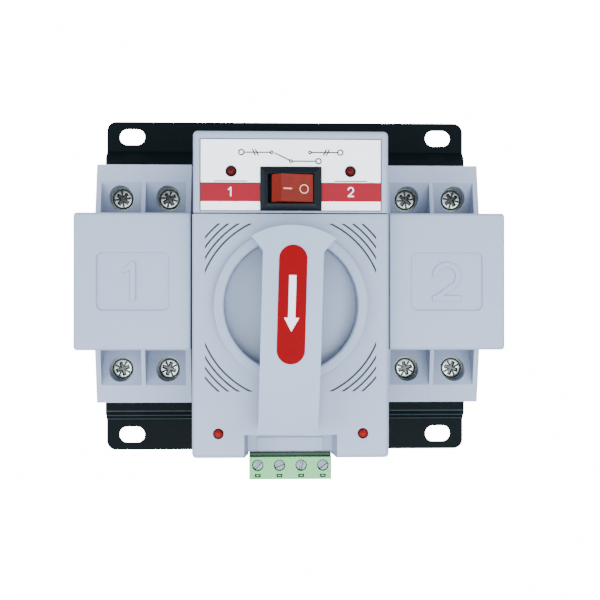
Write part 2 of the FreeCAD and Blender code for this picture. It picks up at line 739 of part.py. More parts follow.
def flat_shape(corners, depth):
    """A flat piece seen from the front: an outline of X and Z formulas between two depths."""
    shape = document.addObject("PartDesign::Body", "FlatShape")
    outline = polygon(sketch(shape, "XZ_Plane", depth[0]), corners)
    pad(shape, outline, f"({depth[1]}) - ({depth[0]})")
    return shape


def figure_one(x, depth):
    """A plain 1: a stem with a slanted flag."""
    half = "digit_stroke / 2"
    high = "digit_height / 2"
    flag = "digit_width / 3"
    corners = [
        (half, f"0 - {high}"), (half, high), ("0 - 0.4", high), (f"0 - {flag}", f"{high} - 2.2"),
        (f"0 - {flag}", f"{high} - 2.2 - digit_stroke"), (f"0 - {half}", f"{high} - 2 - digit_stroke / 2"),
        (f"0 - {half}", f"0 - {high}"),
    ]
    return flat_shape([(f"{x} + ({across})", up) for across, up in corners], depth)


def figure_two(x, depth):
    """A plain 2: a bow that runs on as a slanted stroke down to a foot."""
    radius = "digit_width / 2"
    rise = "(digit_height / 2 - digit_width / 2)"
    low = "(digit_stroke - digit_height / 2)"
    ring = cut(rod(radius, depth, x, rise), rod(f"{radius} - digit_stroke", depth, x, rise))
    cosine = "cos(digit_turn * 1 deg)"
    sine = "sin(digit_turn * 1 deg)"
    reach = "digit_width"
    kept = [
        (f"{x} - {reach}", rise), (x, rise), (f"{x} + {reach} * {cosine}", f"{rise} - {reach} * {sine}"),
        (f"{x} + 2 * {reach}", rise), (f"{x} + {reach}", f"{rise} + {reach}"),
        (f"{x} - {reach}", f"{rise} + {reach}"),
    ]
    bow = common(ring, flat_shape(kept, depth))
    starts = [f"({radius})", f"({radius} - digit_stroke)"]
    drop = [f"({rise} - {start} * {sine} - {low})" for start in starts]
    tops = [(f"{x} + {start} * {cosine}", f"{rise} - {start} * {sine}") for start in starts]
    feet = [(f"{x} + {start} * {cosine} - {fall} * {sine} / {cosine}", low)
            for start, fall in zip(starts, drop)]
    slant = flat_shape([tops[0], tops[1], feet[1], feet[0]], depth)
    foot = block(around(x, radius), depth, (f"{low} - digit_stroke", low))
    return join(bow, slant, foot)


def unit_cover(label, side, digit):
    """The deep cover over a unit's nose, with a plain raised number in a shallow field."""
    cover = document.addObject("PartDesign::Body", "Body_" + label)
    x = sided(side, "cover_in", "cover_out")
    inside = sided(side, "cover_in + cover_wall", "cover_out - cover_wall")
    level = around("0", "cover_half")
    rim = "nose_root + loose"
    raise_box(cover, x, (rim, "cover_front"), level)
    round_edges(cover, "cover_round", lambda edge: -edge.CenterOfMass.y > size("nose_root") + 1)
    room = (rim, "cover_front - cover_wall")
    sink_box(cover, inside, room, around("0", "cover_half - cover_wall"))
    passage = sided(side, "cover_in - 1", "cover_in + cover_wall + 1")
    gap = ("bar_back - loose", "bar_front + loose")
    sink_box(cover, passage, gap, around("0", "window_half"))
    field = around(f"{side} * emblem_x", "emblem_width / 2")
    floor = "cover_front - emblem_sink"
    sink_box(cover, field, (floor, "cover_front"), around("0", "emblem_height / 2"))
    round_edges(cover, "emblem_corner", lambda edge: runs_along(edge, 1) and near(
        -edge.CenterOfMass.y, size("cover_front") - size("emblem_sink") / 2))
    figure = figure_one if digit == 1 else figure_two
    node(label, join(cover, figure(f"{side} * emblem_x", (f"{floor} - 0.1", "cover_front - 0.05"))))


# ---------------------------------------------------------------- drive housing


def shell_edges(front_depth, join_depth):
    """Return a test for a shell's outer edges that stand clear of its joint and of the split."""
    middle = (front_depth + join_depth) / 2
    return lambda edge: not near(edge.CenterOfMass.z, size("housing_split"), 1.0) and (
        near(-edge.CenterOfMass.y, front_depth) or (
            runs_along(edge, 1) and near(-edge.CenterOfMass.y, middle, 1.0)))


def housing_base():
    """The rear tray of the housing, with a bearing for the drive shaft."""
    base = body("housing_base")
    inner = "housing_half - housing_wall"
    wall_low = "housing_low + housing_wall"
    wall_high = "housing_high - housing_wall"
    raise_box(base, around("0", "housing_half"), ("deck", "housing_join"), ("housing_low", "housing_high"))
    sink_box(base, around("0", inner), ("base_floor", "housing_join"), (wall_low, wall_high))
    raise_disc(base, "shaft_r + 3", ("base_floor - 1", "base_floor + 6"), "0", "knob_z")
    sink_disc(base, "shaft_r + run_gap", ("base_floor", "base_floor + 7"), "0", "knob_z")
    for x, z, _ in rear_screw_places():
        if "housing" in x:
            sink_disc(base, "screw_r", ("deck - 1", "base_floor"), x, z)


def front_cover():
    """The lower cover: ring and recessed disc of the knob, vents, lamp holes and bottom notch."""
    cover = document.addObject("PartDesign::Body", "Body_front_cover")
    top = "housing_split - seam / 2"
    inner = "housing_half - housing_wall"
    floor = "housing_front - housing_wall"
    raise_box(cover, around("0", "housing_half"), ("housing_join", "housing_front"), ("housing_low", top))
    round_edges(cover, "housing_round", shell_edges(size("housing_front"), size("housing_join")))
    room = ("housing_low + housing_wall", f"{top} - housing_wall")
    sink_box(cover, around("0", inner), ("housing_join", floor), room)
    raise_disc(cover, "ring_in + 2", ("dish_front - housing_wall", "housing_front"), "0", "knob_z")
    raise_disc(cover, "ring_out", ("housing_front - 1", "ring_front"), "0", "knob_z")
    sink_disc(cover, "ring_in", ("dish_front", "ring_front"), "0", "knob_z")
    round_edges(cover, "ring_round", lambda edge: near(-edge.CenterOfMass.y, size("ring_front")))
    bushing_hole = ("dish_front - housing_wall - 1", "dish_front + 1")
    sink_disc(cover, "shaft_r + 3 + fit_gap", bushing_hole, "0", "knob_z")
    for side in ("position_lamp_x", "0 - position_lamp_x"):
        sink_disc(cover, "lamp_rim - 0.2", (f"{floor} - 1", "housing_front + 1"), side, "position_lamp_z")
    for side in (1, -1):
        passage = sided(side, "housing_half - housing_wall - 1", "housing_half + 1")
        sink_box(cover, passage, ("bar_back - loose", "bar_front + loose"), around("0", "window_half"))
    wall = "housing_wall"
    pocket_back = f"notch_front - {wall}"
    raise_box(cover, around("0", f"notch_half + {wall}"), (pocket_back, "housing_front - 1"),
              ("housing_low + 0.9", f"notch_top + {wall}"))
    notch = sink_box(cover, around("0", "notch_half"), ("notch_front", "housing_front"),
                     ("housing_low - 4", "notch_top"))
    bind(notch, "TaperAngle", "0 - notch_splay")
    slot = around("0", "plug_half + loose")
    slot_depth = ("plug_back - 1", "notch_front + 1.5 + loose")
    sink_box(cover, slot, slot_depth, ("housing_low - 1", "housing_low + 0.9"))
    behind = ("plug_back - 1", pocket_back)
    sink_box(cover, slot, behind, ("housing_low - 1", f"housing_low + {wall} + 1"))
    raise_box(cover, around("0", "plaque_width / 2"), ("notch_front - 1", "notch_front + plaque_rise"),
              around("plaque_z", "plaque_height / 2"))
    node("front_cover", cut(cover, common(vent_rings(), vent_field())))


def vent_rings():
    """The concentric grooves of the vents, as full rings."""
    rings = []
    depth = ("housing_front - vent_deep", "housing_front + 1")
    for step in range(4):
        middle = f"vent_first + {step} * vent_step"
        outer = rod(f"{middle} + vent_width / 2", depth, "0", "vent_z")
        rings.append(cut(outer, rod(f"{middle} - vent_width / 2", depth, "0", "vent_z")))
    return join(*rings)


def vent_field():
    """The rectangle that leaves only the corners of the rings."""
    depth = ("housing_front - vent_deep", "housing_front + 1")
    return centred("0", "vent_half_x", depth, "vent_z", "vent_half_z")


def control_cover():
    """The upper cover: a box with a recess for the label and a hole for the rocker."""
    cover = body("control_cover")
    low = "housing_split + seam / 2"
    raise_box(cover, around("0", "box_half"), ("housing_join", "box_front"), (low, "housing_high"))
    round_edges(cover, "housing_round", shell_edges(size("box_front"), size("housing_join")))
    inner = around("0", "box_half - housing_wall")
    room = (f"{low} + housing_wall", "housing_high - housing_wall")
    sink_box(cover, inner, ("housing_join", "box_front - housing_wall"), room)
    recess = ("panel_floor", "box_front")
    sink_box(cover, around("0", "label_width / 2 + loose / 2"), recess,
             around("label_z", "label_height / 2 + loose / 2"))
    sink_box(cover, around("0", "bezel_width / 2 - 0.7"), ("box_front - 3", "box_front"),
             around("rocker_z", "bezel_height / 2 - 1.4"))
    for side in ("power_lamp_x", "0 - power_lamp_x"):
        sink_disc(cover, "lamp_rim - 0.2", ("box_front - 3", "box_front"), side, "power_lamp_z")


def front_label():
    """The printed label with its openings for the rocker and the lamps."""
    depth = ("panel_floor", "panel_floor + label_sheet")
    through = ("panel_floor - 1", "panel_floor + 1")
    plate = centred("0", "label_width / 2", depth, "label_z", "label_height / 2")
    hole = centred("0", "bezel_width / 2 + 0.1", through, "rocker_z", "bezel_height / 2 + 0.1")
    lamps = [rod("lamp_rim", through, side, "power_lamp_z") for side in (
        "power_lamp_x", "0 - power_lamp_x")]
    node("front_label", cut(plate, hole, *lamps))


def rocker_switch():
    """The snap-in rocker switch: sloping bezel, body, button and rear tabs."""
    across, up = around("0", "bezel_width / 2"), around("rocker_z", "bezel_height / 2")
    crest, edge = "panel_floor + bezel_rise", "panel_floor + bezel_rise - bezel_slope_d"
    rim = block(across, ("panel_floor", edge), up)
    bezel = join(rim, frustum(across, up, (edge, crest), "bezel_slope_w"))
    barrel = centred("0", "bezel_width / 2 - 0.9", ("rocker_rear", "panel_floor"),
                     "rocker_z", "bezel_height / 2 - 1.6")
    rear, half = "rocker_axle - 5.5", "rocker_open_h / 2"
    well = centred("0", "rocker_open_w / 2", (rear, "box_front + 5"), "rocker_z", half)
    swing = centred("0", "rocker_foot_half + 1.1", (rear, "panel_floor + 0.9"), "rocker_z", half)
    pins = upright_rod("0.9 + run_gap", "0", "rocker_axle", around("rocker_z", f"{half} + 0.6"))
    node("rocker_body", cut(join(bezel, barrel), well, swing, pins))
    button = body("rocker_button")
    corners = [
        ("0 - rocker_top_half", "0 - rocker_top"), ("0", "0.4 - rocker_top"),
        ("rocker_top_half", "0 - rocker_top"), ("rocker_foot_half", "0 - rocker_foot"),
        ("4.5", "3.5"), ("0 - 4.5", "3.5"), ("0 - rocker_foot_half", "0 - rocker_foot"),
    ]
    profile = polygon(sketch(button, "XY_Plane"), corners)
    pad(button, profile, "rocker_open_h - 2 * loose", midplane=True)
    axle = circle(sketch(button, "XY_Plane"), "0", "0", "0.9")
    pad(button, axle, "rocker_open_h + 1", midplane=True)
    button.Placement = FreeCAD.Placement(FreeCAD.Vector(), FreeCAD.Rotation(FreeCAD.Vector(0, 0, 1), 1))
    bind(button, "Placement.Base.y", "0 - rocker_axle")
    bind(button, "Placement.Base.z", "rocker_z")
    bind(button, "Placement.Rotation.Angle", "rocker_tilt")
    tabs = [centred(side, "0.4", ("board_back + board + loose / 3", "rocker_rear"), "rocker_z", "2.4")
            for side in ("4", "0 - 4")]
    node("rocker_tabs", group(*tabs))


def lamps(label, x, z, panel, board_front):
    """A pair of lamps: rim, dome and two legs that reach back to their board."""
    pieces = []
    for side in (x, f"0 - {x}"):
        tip = f"{panel} + lamp_proud"
        stem = rod("lamp_r", (f"{panel} - 4", f"{tip} - lamp_r / 2"), side, z)
        dome = document.addObject("Part::Ellipsoid", "Dome")
        bind(dome, "Radius1", "lamp_r / 2")
        bind(dome, "Radius2", "lamp_r")
        place(dome, side, f"{tip} - lamp_r / 2", z, (FreeCAD.Vector(1, 0, 0), 90))
        rim = rod("lamp_rim", (f"{panel} - 4", f"{panel} - 3"), side, z)
        legs = [rod("0.3", (board_front, f"{panel} - 3.5"), f"{side} {way} 0.9", z) for way in "+-"]
        pieces.append(join(stem, dome, rim, *legs))
    node(label, group(*pieces))


def boards():
    """The control board with its parts, and the notched lamp board below the knob."""
    depth = ("board_back", "board_back + board")
    half = "box_half - housing_wall - loose"
    node("control_board", block(around("0", half), depth, ("housing_split + 3.2", "housing_high - 3")))
    relays = [block(around(side, "8"), ("board_back - 16", "board_back"), around("label_z + 1", "9"))
              for side in ("20", "0 - 20")]
    capacitor = rod("5", ("board_back - 14", "board_back"), "0", "label_z")
    node("board_parts", group(*relays, capacitor))
    depth = ("lamp_board_back", "lamp_board_back + board")
    low = "housing_low + housing_wall + loose"
    half = "housing_half - housing_wall - loose"
    plate = block(around("0", half), depth, (low, "notch_top + 11"))
    gap = around("0", "notch_half + housing_wall + loose")
    room = ("lamp_board_back - 1", "lamp_board_back + board + 1")
    node("lamp_board", cut(plate, block(gap, room, (f"{low} - 1", "header_top + loose"))))
    power_front = "board_back + board"
    lamps("power_lamps", "power_lamp_x", "power_lamp_z", "panel_floor", power_front)
    front = "lamp_board_back + board"
    lamps("position_lamps", "position_lamp_x", "position_lamp_z", "housing_front", front)


# ---------------------------------------------------------------- pluggable terminal


def way_places():
    """Return the X formula of each terminal way."""
    ways = int(size("terminal_ways"))
    return [f"terminal_pitch * ({way} - (terminal_ways - 1) / 2)" for way in range(ways)]


def terminal_header():
    """The fixed header with a rim under the notch and a pin for each way."""
    shell = centred("0", "plug_half", ("plug_back - 0.8", "notch_front - housing_wall - loose"),
                    "(header_top + housing_low) / 2", "(header_top - housing_low) / 2")
    rim = centred("0", "plug_half", ("plug_back - 0.8", "notch_front + 1.5"),
                  "housing_low + 0.2", "0.6")
    socket = centred("0", "plug_half - 0.8", ("plug_back + 0.8", "notch_front - 3.4"),
                     "housing_low + 2", "4.5")
    pin_depth = ("plug_back + 5", "plug_back + 6")
    pins = [block(around(x, "0.5"), pin_depth, ("plug_top - 3", "header_top - 2")) for x in way_places()]
    seats = [block(around(x, "0.5"), pin_depth, ("plug_top - 3", "header_top - 2")) for x in way_places()]
    node("terminal_header", group(cut(join(shell, rim), socket, *seats), *pins))


def terminal_plug():
    """The plug that pulls off downwards, with its clamps and screws."""
    housing = centred("0", "plug_half", ("plug_back", "plug_front"),
                      "(plug_top + plug_low) / 2", "(plug_top - plug_low) / 2")
    tongue = block(around("0", "plug_half - 1"), ("plug_back + 1", "notch_front - 3.7"),
                   ("plug_top - 1", "housing_low + 6"))
    tools, clamps, screws = [], [], []
    clamp_depth = ("plug_back + 2", "plug_front - 6")
    for x in way_places():
        tools.append(block(around(x, "2.9"), clamp_depth, ("plug_low - 1", "plug_top - 0.9")))
        pin_way = ("plug_back + 4.7", "plug_back + 6.3")
        tools.append(block(around(x, "0.8"), pin_way, ("plug_top - 2", "housing_low + 7")))
        tools.append(rod("plug_screw_r + run_gap", ("plug_front - 7", "plug_front + 1"), x, "plug_screw_z"))
        tools.append(centred(x, "1.05", ("plug_front - loose", "plug_front + 1"), "plug_low + 1.3", "0.6"))
        shell = centred(x, "2.8", (f"{clamp_depth[0]} + 0.1", f"{clamp_depth[1]} - 0.1"),
                        "plug_screw_z - 0.4", "2.4")
        hollow = centred(x, "2.1", (f"{clamp_depth[0]} + 0.9", f"{clamp_depth[1]} - 1.4"),
                         "plug_screw_z", "9")
        thread = rod("1.3", (f"{clamp_depth[1]} - 2", f"{clamp_depth[1]} + 1"), x, "plug_screw_z")
        clamps.append(cut(shell, hollow, thread))
        head = rod("plug_screw_r", ("plug_front - 3", "plug_front - 0.6"), x, "plug_screw_z")
        shank = rod("1.25", (f"{clamp_depth[1]} - 1.6", "plug_front - 3"), x, "plug_screw_z")
        slot = centred(x, "0.35", ("plug_front - 1.4", "plug_front"), "plug_screw_z", "plug_screw_r + 1")
        screws.append(cut(join(head, shank), slot))
    node("terminal_plug", cut(join(housing, tongue), *tools))
    node("plug_clamps", group(*clamps))
    node("plug_screws", group(*screws))


# ---------------------------------------------------------------- drive


def involute_wheel(label, teeth, middle, aim, bore, depth, hub=None):
    """A spur gear: involute flanks, one tooth aimed at an angle in degrees."""
    module = size("gear_module")
    pitch_r = module * teeth / 2
    base_r = pitch_r * math.cos(math.radians(20))
    root_r = pitch_r - module * size("tooth_root")
    tip_r = pitch_r + module * size("tooth_reach")
    half_tooth = (math.pi * module / 2 - size("backlash")) / (2 * pitch_r)
    spread = half_tooth + math.tan(math.radians(20)) - math.radians(20)
    start_r = max(base_r, root_r)
    flank = []
    for step in range(6):
        radius = start_r + (tip_r - start_r) * step / 5
        unroll = math.acos(base_r / radius)
        flank.append((radius, spread - (math.tan(unroll) - unroll)))
    if root_r < base_r:
        flank.insert(0, (root_r, flank[0][1]))
    points = []
    for tooth in range(teeth):
        turn = math.radians(aim) + 2 * math.pi * tooth / teeth
        for radius, angle in flank:
            points.append((radius, turn - angle))
        for radius, angle in reversed(flank):
            points.append((radius, turn + angle))
    corners = [FreeCAD.Vector(radius * math.cos(angle), 0, radius * math.sin(angle))
               for radius, angle in points]
    outline = Part.Face(Part.makePolygon([*corners, corners[0]]))
    toward = FreeCAD.Vector(0, -1, 0)
    wheel = outline.extrude(toward * (depth[1] - depth[0]))
    origin = FreeCAD.Vector()
    if hub:
        length = hub[2] - hub[1]
        wheel = wheel.fuse(Part.makeCylinder(hub[0], length, toward * (hub[1] - depth[0]), toward))
    if bore:
        wheel = wheel.cut(Part.makeCylinder(bore, depth[1] - depth[0], origin, toward))
    feature = document.addObject("Part::Feature", "Gear_" + label)
    feature.Shape = wheel
    feature.Placement = FreeCAD.Placement(
        FreeCAD.Vector(middle[0], -depth[0], middle[1]), FreeCAD.Rotation())
    return node(label, feature)


def rack(low, high, zero):
    """Rack teeth that stand towards -X from a back strip, with a space centred at a level."""
    module = size("gear_module")
    pitch = math.pi * module
    line = size("pinion_pitch_r")
    tip = line - module * size("tooth_reach")
    root = line + module * size("tooth_root")
    slope = math.tan(math.radians(20))
    half = (pitch / 2 - size("backlash")) / 2
    first = math.ceil((low - zero) / pitch - 0.5)
    last = math.floor((high - zero) / pitch - 0.5)
    corners = [(root + 1, low)]
    for step in range(first, last + 1):
        middle = zero + (step + 0.5) * pitch
        reach_root = half + (root - line) * slope
        reach_tip = half - (line - tip) * slope
        if middle - reach_root < low or middle + reach_root > high:
            continue
        corners += [(root, middle - reach_root), (tip, middle - reach_tip),
                    (tip, middle + reach_tip), (root, middle + reach_root)]
    corners.insert(1, (root, low))
    corners += [(root, high), (root + 1, high)]
    points = [FreeCAD.Vector(x, 0, z) for x, z in corners]
    face = Part.Face(Part.makePolygon([*points, points[0]]))
    feature = document.addObject("Part::Feature", "Rack")
    feature.Shape = face.extrude(FreeCAD.Vector(0, -size("bar_thick"), 0))
    feature.Placement = FreeCAD.Placement(FreeCAD.Vector(0, -size("bar_back"), 0), FreeCAD.Rotation())
    return feature


def drive_bar():
    """The sliding bar: a frame with the rack round the shaft, two arms and two forks."""
    depth = ("bar_back", "bar_front")
    root = "pinion_pitch_r + gear_module * tooth_root"
    frame = block(("0 - pinion_pitch_r - 2 - bar_frame", f"{root} + bar_frame"), depth,
                  around("knob_z", "bar_window + bar_frame"))
    arms = block(around("0", "unit_mid"), depth, around("0", "bar_arm / 2"))
    forks = [centred(f"{side} * unit_mid", "fork_half", depth, "0", "fork_half") for side in (1, -1)]
    window = block(("0 - pinion_pitch_r - 2", root), around("bar_back + bar_thick / 2", "bar_thick"),
                   around("knob_z", "bar_window"))
    slots = [centred(f"{side} * (unit_mid + fork_half / 2)", "toggle_width / 2 + fork_half / 2",
                     around("bar_back + bar_thick / 2", "bar_thick"), "0", "toggle_tip + 0.25")
             for side in (1, -1)]
    knob = size("knob_z")
    reach = size("bar_window")
    teeth = rack(knob - reach, knob + reach, knob)
    node("drive_bar", join(cut(join(frame, arms, *forks), window, *slots), teeth))


def gear_train():
    """The motor, its pinion, the idler and the gear on the drive shaft."""
    back = size("gear_back")
    front = back + size("gear_face")
    output = int(size("output_teeth"))
    idler = int(size("idler_teeth"))
    motor = int(size("motor_teeth"))
    to_idler = size("idler_angle")
    to_motor = size("motor_angle")
    knob = (0.0, size("knob_z"))
    bore = size("shaft_r") + size("fit_gap")
    involute_wheel("output_gear", output, knob, to_idler, bore, (back, front))
    idler_aim = to_idler + 180 + 180 / idler
    middle = (size("idler_x"), size("idler_z"))
    pin_bore = size("idler_pin_r") + size("run_gap")
    involute_wheel("idler_gear", idler, middle, idler_aim, pin_bore, (back, front))
    offset = (to_motor - idler_aim) % (360 / idler)
    motor_aim = to_motor + 180 + offset * idler / motor + 180 / motor
    shaft = (size("motor_shaft_r"), size("gear_plate_back") - 1, front + 1)
    middle = (size("motor_x"), size("motor_z"))
    involute_wheel("motor_pinion", motor, middle, motor_aim, None, (back, front), shaft)
    depth = (size("bar_back"), size("bar_front"))
    involute_wheel("rack_pinion", int(size("pinion_teeth")), knob, 0, bore, depth)


def gear_frame():
    """The gear plate on four posts, with its screws, the idler pin, motor and switches."""
    plate_depth = ("gear_plate_back", "gear_plate_back + sheet")
    plate = block(around("0", "gear_plate_half"), plate_depth, ("post_low - 5", "post_high + 5"))
    through = ("gear_plate_back - 1", "gear_plate_back + sheet + 1")
    holes = [
        rod("shaft_r + loose", through, "0", "knob_z"),
        rod("motor_shaft_r + loose", through, "motor_x", "motor_z"),
        rod("idler_pin_r + fit_gap", through, "idler_x", "idler_z"),
    ]
    posts, screws = [], []
    for side in ("post_x", "0 - post_x"):
        for level in ("post_low", "post_high"):
            post = rod("post_r", ("base_floor", "gear_plate_back"), side, level)
            bore = rod("1.5 + fit_gap", ("gear_plate_back - 8", "gear_plate_back + 1"), side, level)
            posts.append(cut(post, bore))
            holes.append(rod("1.5 + fit_gap", through, side, level))
            shank = rod("1.5", ("gear_plate_back - 7", "gear_plate_back + sheet + 1"), side, level)
            head = rod("post_r", ("gear_plate_back + sheet", "gear_plate_back + sheet + 2"), side, level)
            screws.append(join(shank, head))
    node("gear_plate", cut(plate, *holes))
    node("gear_plate_posts", group(*posts))
    node("gear_plate_screws", group(*screws))
    pin = rod("idler_pin_r", ("gear_plate_back", "gear_back + gear_face + 1.2"), "idler_x", "idler_z")
    collar = rod("idler_pin_r + 1", ("gear_back + gear_face + 0.4", "gear_back + gear_face + 1.2"),
                 "idler_x", "idler_z")
    node("idler_pin", join(pin, collar))
    can = rod("motor_r", ("motor_back", "gear_plate_back"), "motor_x", "motor_z")
    relief = rod("motor_shaft_r + loose", ("gear_plate_back - 3", "gear_plate_back + 1"),
                 "motor_x", "motor_z")
    node("motor", cut(can, relief))


def limit_parts():
    """The cam on the drive shaft and the two switches that it works."""
    middle = "cam_back + 2"
    disc = rod("cam_r", ("cam_back", "cam_back + 4"), "0", "knob_z")
    flat = block(around("0", "cam_r"), around(middle, "4"), ("knob_z + cam_r - 1.5", "knob_z + 2 * cam_r"))
    bore = rod("shaft_r + fit_gap", around(middle, "4"), "0", "knob_z")
    node("limit_cam", cut(disc, flat, bore))
    switches = []
    for side in (1, -1):
        x = sided(side, "gear_plate_half - 7", "gear_plate_half")
        case = block(x, ("gear_plate_back + sheet", "cam_back + 5"), around("knob_z + 2", "7"))
        reach = sided(side, "cam_r + loose", "gear_plate_half - 6")
        lever = block(reach, around(middle, "1"), around("knob_z", "0.3"))
        switches.append(join(case, lever))
    node("limit_switches", group(*switches))


def shaft_and_knob():
    """The drive shaft, its front bushing, and the handle with its screw and label."""
    seat = "handle_back + 4"
    shaft = rod("shaft_r", ("base_floor + loose", seat), "0", "knob_z")
    tapped = rod("1.5 + fit_gap", (f"{seat} - 7", f"{seat} + 1"), "0", "knob_z")
    node("drive_shaft", cut(shaft, tapped))
    sleeve = rod("shaft_r + 3", ("dish_front - housing_wall - 1.5", "dish_front"), "0", "knob_z")
    rim = rod("shaft_r + 4.5", ("dish_front - housing_wall - 1.5", "dish_front - housing_wall"),
              "0", "knob_z")
    bore = rod("shaft_r + run_gap", around("dish_front", "9"), "0", "knob_z")
    node("shaft_bushing", cut(join(sleeve, rim), bore))
    screw_seat = "handle_front - 3"
    shank = rod("1.5", (f"{seat} - 6", screw_seat), "0", "knob_z")
    head = rod("3", (screw_seat, f"{screw_seat} + 2.4"), "0", "knob_z")
    node("handle_screw", join(shank, head))
    half = "sticker_width / 2"
    depth = ("handle_front", "handle_front + sticker_sheet")
    ends = [f"knob_z + sticker_up - {half}", f"knob_z - sticker_down + {half}"]
    pill = block(around("0", half), depth, (ends[1], ends[0]))
    lean(node("handle_label", join(pill, *[rod(half, depth, "0", level) for level in ends])))
    handle()


def handle():
    """The handle: a long bar, a wide round cap at its top and a hub at the rear."""
    depth = ("handle_back", "handle_front")
    half = "bar_width / 2"
    bar = block(around("0", half), depth, ("knob_z - tail", "knob_z + cap_root"))
    cap_body = document.addObject("PartDesign::Body", "CapOutline")
    corners = [
        (f"0 - {half}", "knob_z + cap_root - 1"), (half, "knob_z + cap_root - 1"),
        (half, "knob_z + cap_root"), ("cap_half", "knob_z + cap_wide"), ("cap_half", "knob_z + cap_r + 1"),
        ("0 - cap_half", "knob_z + cap_r + 1"), ("0 - cap_half", "knob_z + cap_wide"),
        (f"0 - {half}", "knob_z + cap_root"),
    ]
    outline = polygon(sketch(cap_body, "XZ_Plane", depth[0]), corners)
    pad(cap_body, outline, "handle_front - handle_back")
    cap = common(cap_body, rod("cap_r", depth, "0", "knob_z"))
    hub = rod("hub_r", ("dish_front + 0.6", depth[0]), "0", "knob_z")
    slope_body = document.addObject("PartDesign::Body", "TailSlope")
    wedge = [
        ("0 - handle_front", "knob_z - sticker_down - 1"), ("0 - handle_front - 5", "knob_z - tail - 1"),
        ("0 - tail_front", "knob_z - tail - 0.1"),
    ]
    pad(slope_body, polygon(sketch(slope_body, "YZ_Plane"), wedge), "bar_width + 2", midplane=True)
    seat = "handle_back + 4"
    shaft_bore = rod("shaft_r + fit_gap", ("dish_front", f"{seat} + fit_gap"), "0", "knob_z")
    screw_bore = rod("1.5 + fit_gap", (seat, "handle_front"), "0", "knob_z")
    head_bore = rod("3 + fit_gap", ("handle_front - 3", "handle_front + 1"), "0", "knob_z")
    lean(node("handle", cut(join(bar, cap, hub), slope_body, shaft_bore, screw_bore, head_bore)))


def lean(item):
    """Turn a finished part of the handle about the knob axis."""
    item.Placement = FreeCAD.Placement(FreeCAD.Vector(), FreeCAD.Rotation(FreeCAD.Vector(0, 1, 0), 1))
    bind(item, "Placement.Rotation.Angle", "handle_lean")
    bind(item, "Placement.Base.x", "0 - knob_z * sin(handle_lean * 1 deg)")
    bind(item, "Placement.Base.z", "knob_z * (1 - cos(handle_lean * 1 deg))")


def check_and_write():
    """Recompute, refuse anything failed or empty, then write each sub-part."""
    document.recompute()
    for item in document.Objects:
        if {"Invalid", "Error"} & set(item.State):
            raise RuntimeError(f"{item.Name} ({item.Label}) failed: {item.State}")
    os.makedirs("parts", exist_ok=True)
    for item in NODES:
        if item.Shape.isNull() or not item.Shape.isValid() or item.Shape.Volume <= 0:
            raise RuntimeError(f"{item.Label} has no valid shape")
    for item in NODES:
        item.Shape.exportStep(f"parts/{item.Label}.step")


backplate()
rear_screws()
switch_unit("left", -1)
switch_unit("right", 1)
unit_cover("left_cover", -1, 1)
unit_cover("right_cover", 1, 2)
housing_base()
front_cover()
control_cover()
front_label()
rocker_switch()
boards()
terminal_header()
terminal_plug()
drive_bar()
gear_train()
gear_frame()
limit_parts()
shaft_and_knob()
check_and_write()
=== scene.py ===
"""Looks of a two-source transfer switch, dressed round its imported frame.

Lengths are in millimetres in the code and become metres where a mesh is made.
A place is written as (x, z, depth): x to the right, z up, depth towards the viewer.
"""

import json
import logging
import math
from dataclasses import dataclass
from enum import Enum
from functools import cache

import bmesh
import bpy
import numpy as np
from bpy.types import ID, Material, Mesh, NodeSocket, Object, World
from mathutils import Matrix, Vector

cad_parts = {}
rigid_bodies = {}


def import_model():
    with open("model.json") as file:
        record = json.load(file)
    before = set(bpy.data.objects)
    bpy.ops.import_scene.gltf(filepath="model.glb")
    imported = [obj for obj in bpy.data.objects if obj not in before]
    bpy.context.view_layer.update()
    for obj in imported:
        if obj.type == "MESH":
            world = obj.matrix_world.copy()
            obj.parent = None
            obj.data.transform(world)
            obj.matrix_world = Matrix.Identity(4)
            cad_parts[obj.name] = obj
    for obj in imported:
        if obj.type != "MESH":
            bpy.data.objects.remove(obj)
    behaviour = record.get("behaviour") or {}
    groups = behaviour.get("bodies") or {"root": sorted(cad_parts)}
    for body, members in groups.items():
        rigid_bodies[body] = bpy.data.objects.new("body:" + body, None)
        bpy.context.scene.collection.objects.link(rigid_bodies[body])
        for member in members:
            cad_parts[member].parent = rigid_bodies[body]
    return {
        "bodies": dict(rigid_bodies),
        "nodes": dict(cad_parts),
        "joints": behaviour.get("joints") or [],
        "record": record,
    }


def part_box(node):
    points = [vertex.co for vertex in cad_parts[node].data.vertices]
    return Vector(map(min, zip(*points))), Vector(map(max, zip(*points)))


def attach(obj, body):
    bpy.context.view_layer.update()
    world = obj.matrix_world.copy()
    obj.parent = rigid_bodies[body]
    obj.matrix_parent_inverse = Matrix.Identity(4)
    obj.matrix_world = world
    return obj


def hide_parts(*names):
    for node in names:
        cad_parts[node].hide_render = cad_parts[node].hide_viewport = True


LOG = logging.getLogger("transfer_switch")
Pair = tuple[float, float]
Triple = tuple[float, float, float]

MM = 0.001
AXIS = 0.01  # the radius at which a turned section starts and ends
INK_RISE = 0.04  # how far ink stands off its film or button
INK_SHEET = 0.05  # the thickness of ink
RUN_STEP = 0.004  # each run of a stroke lies this much higher than the last
RUN_LEVELS = 5
MERGE_M = 2e-6  # points closer than this, in metres, are one
# Turns between faces, in degrees:
FLAT_TURN = 0.6  # one flat face below this
EDGE_TURN = 32.0  # rounded above this
PRINT_TURN = 30.0  # sharp above this on print and hoops
TURNED_TURN = 55.0  # sharp above this on turned pieces


# ---- shader building


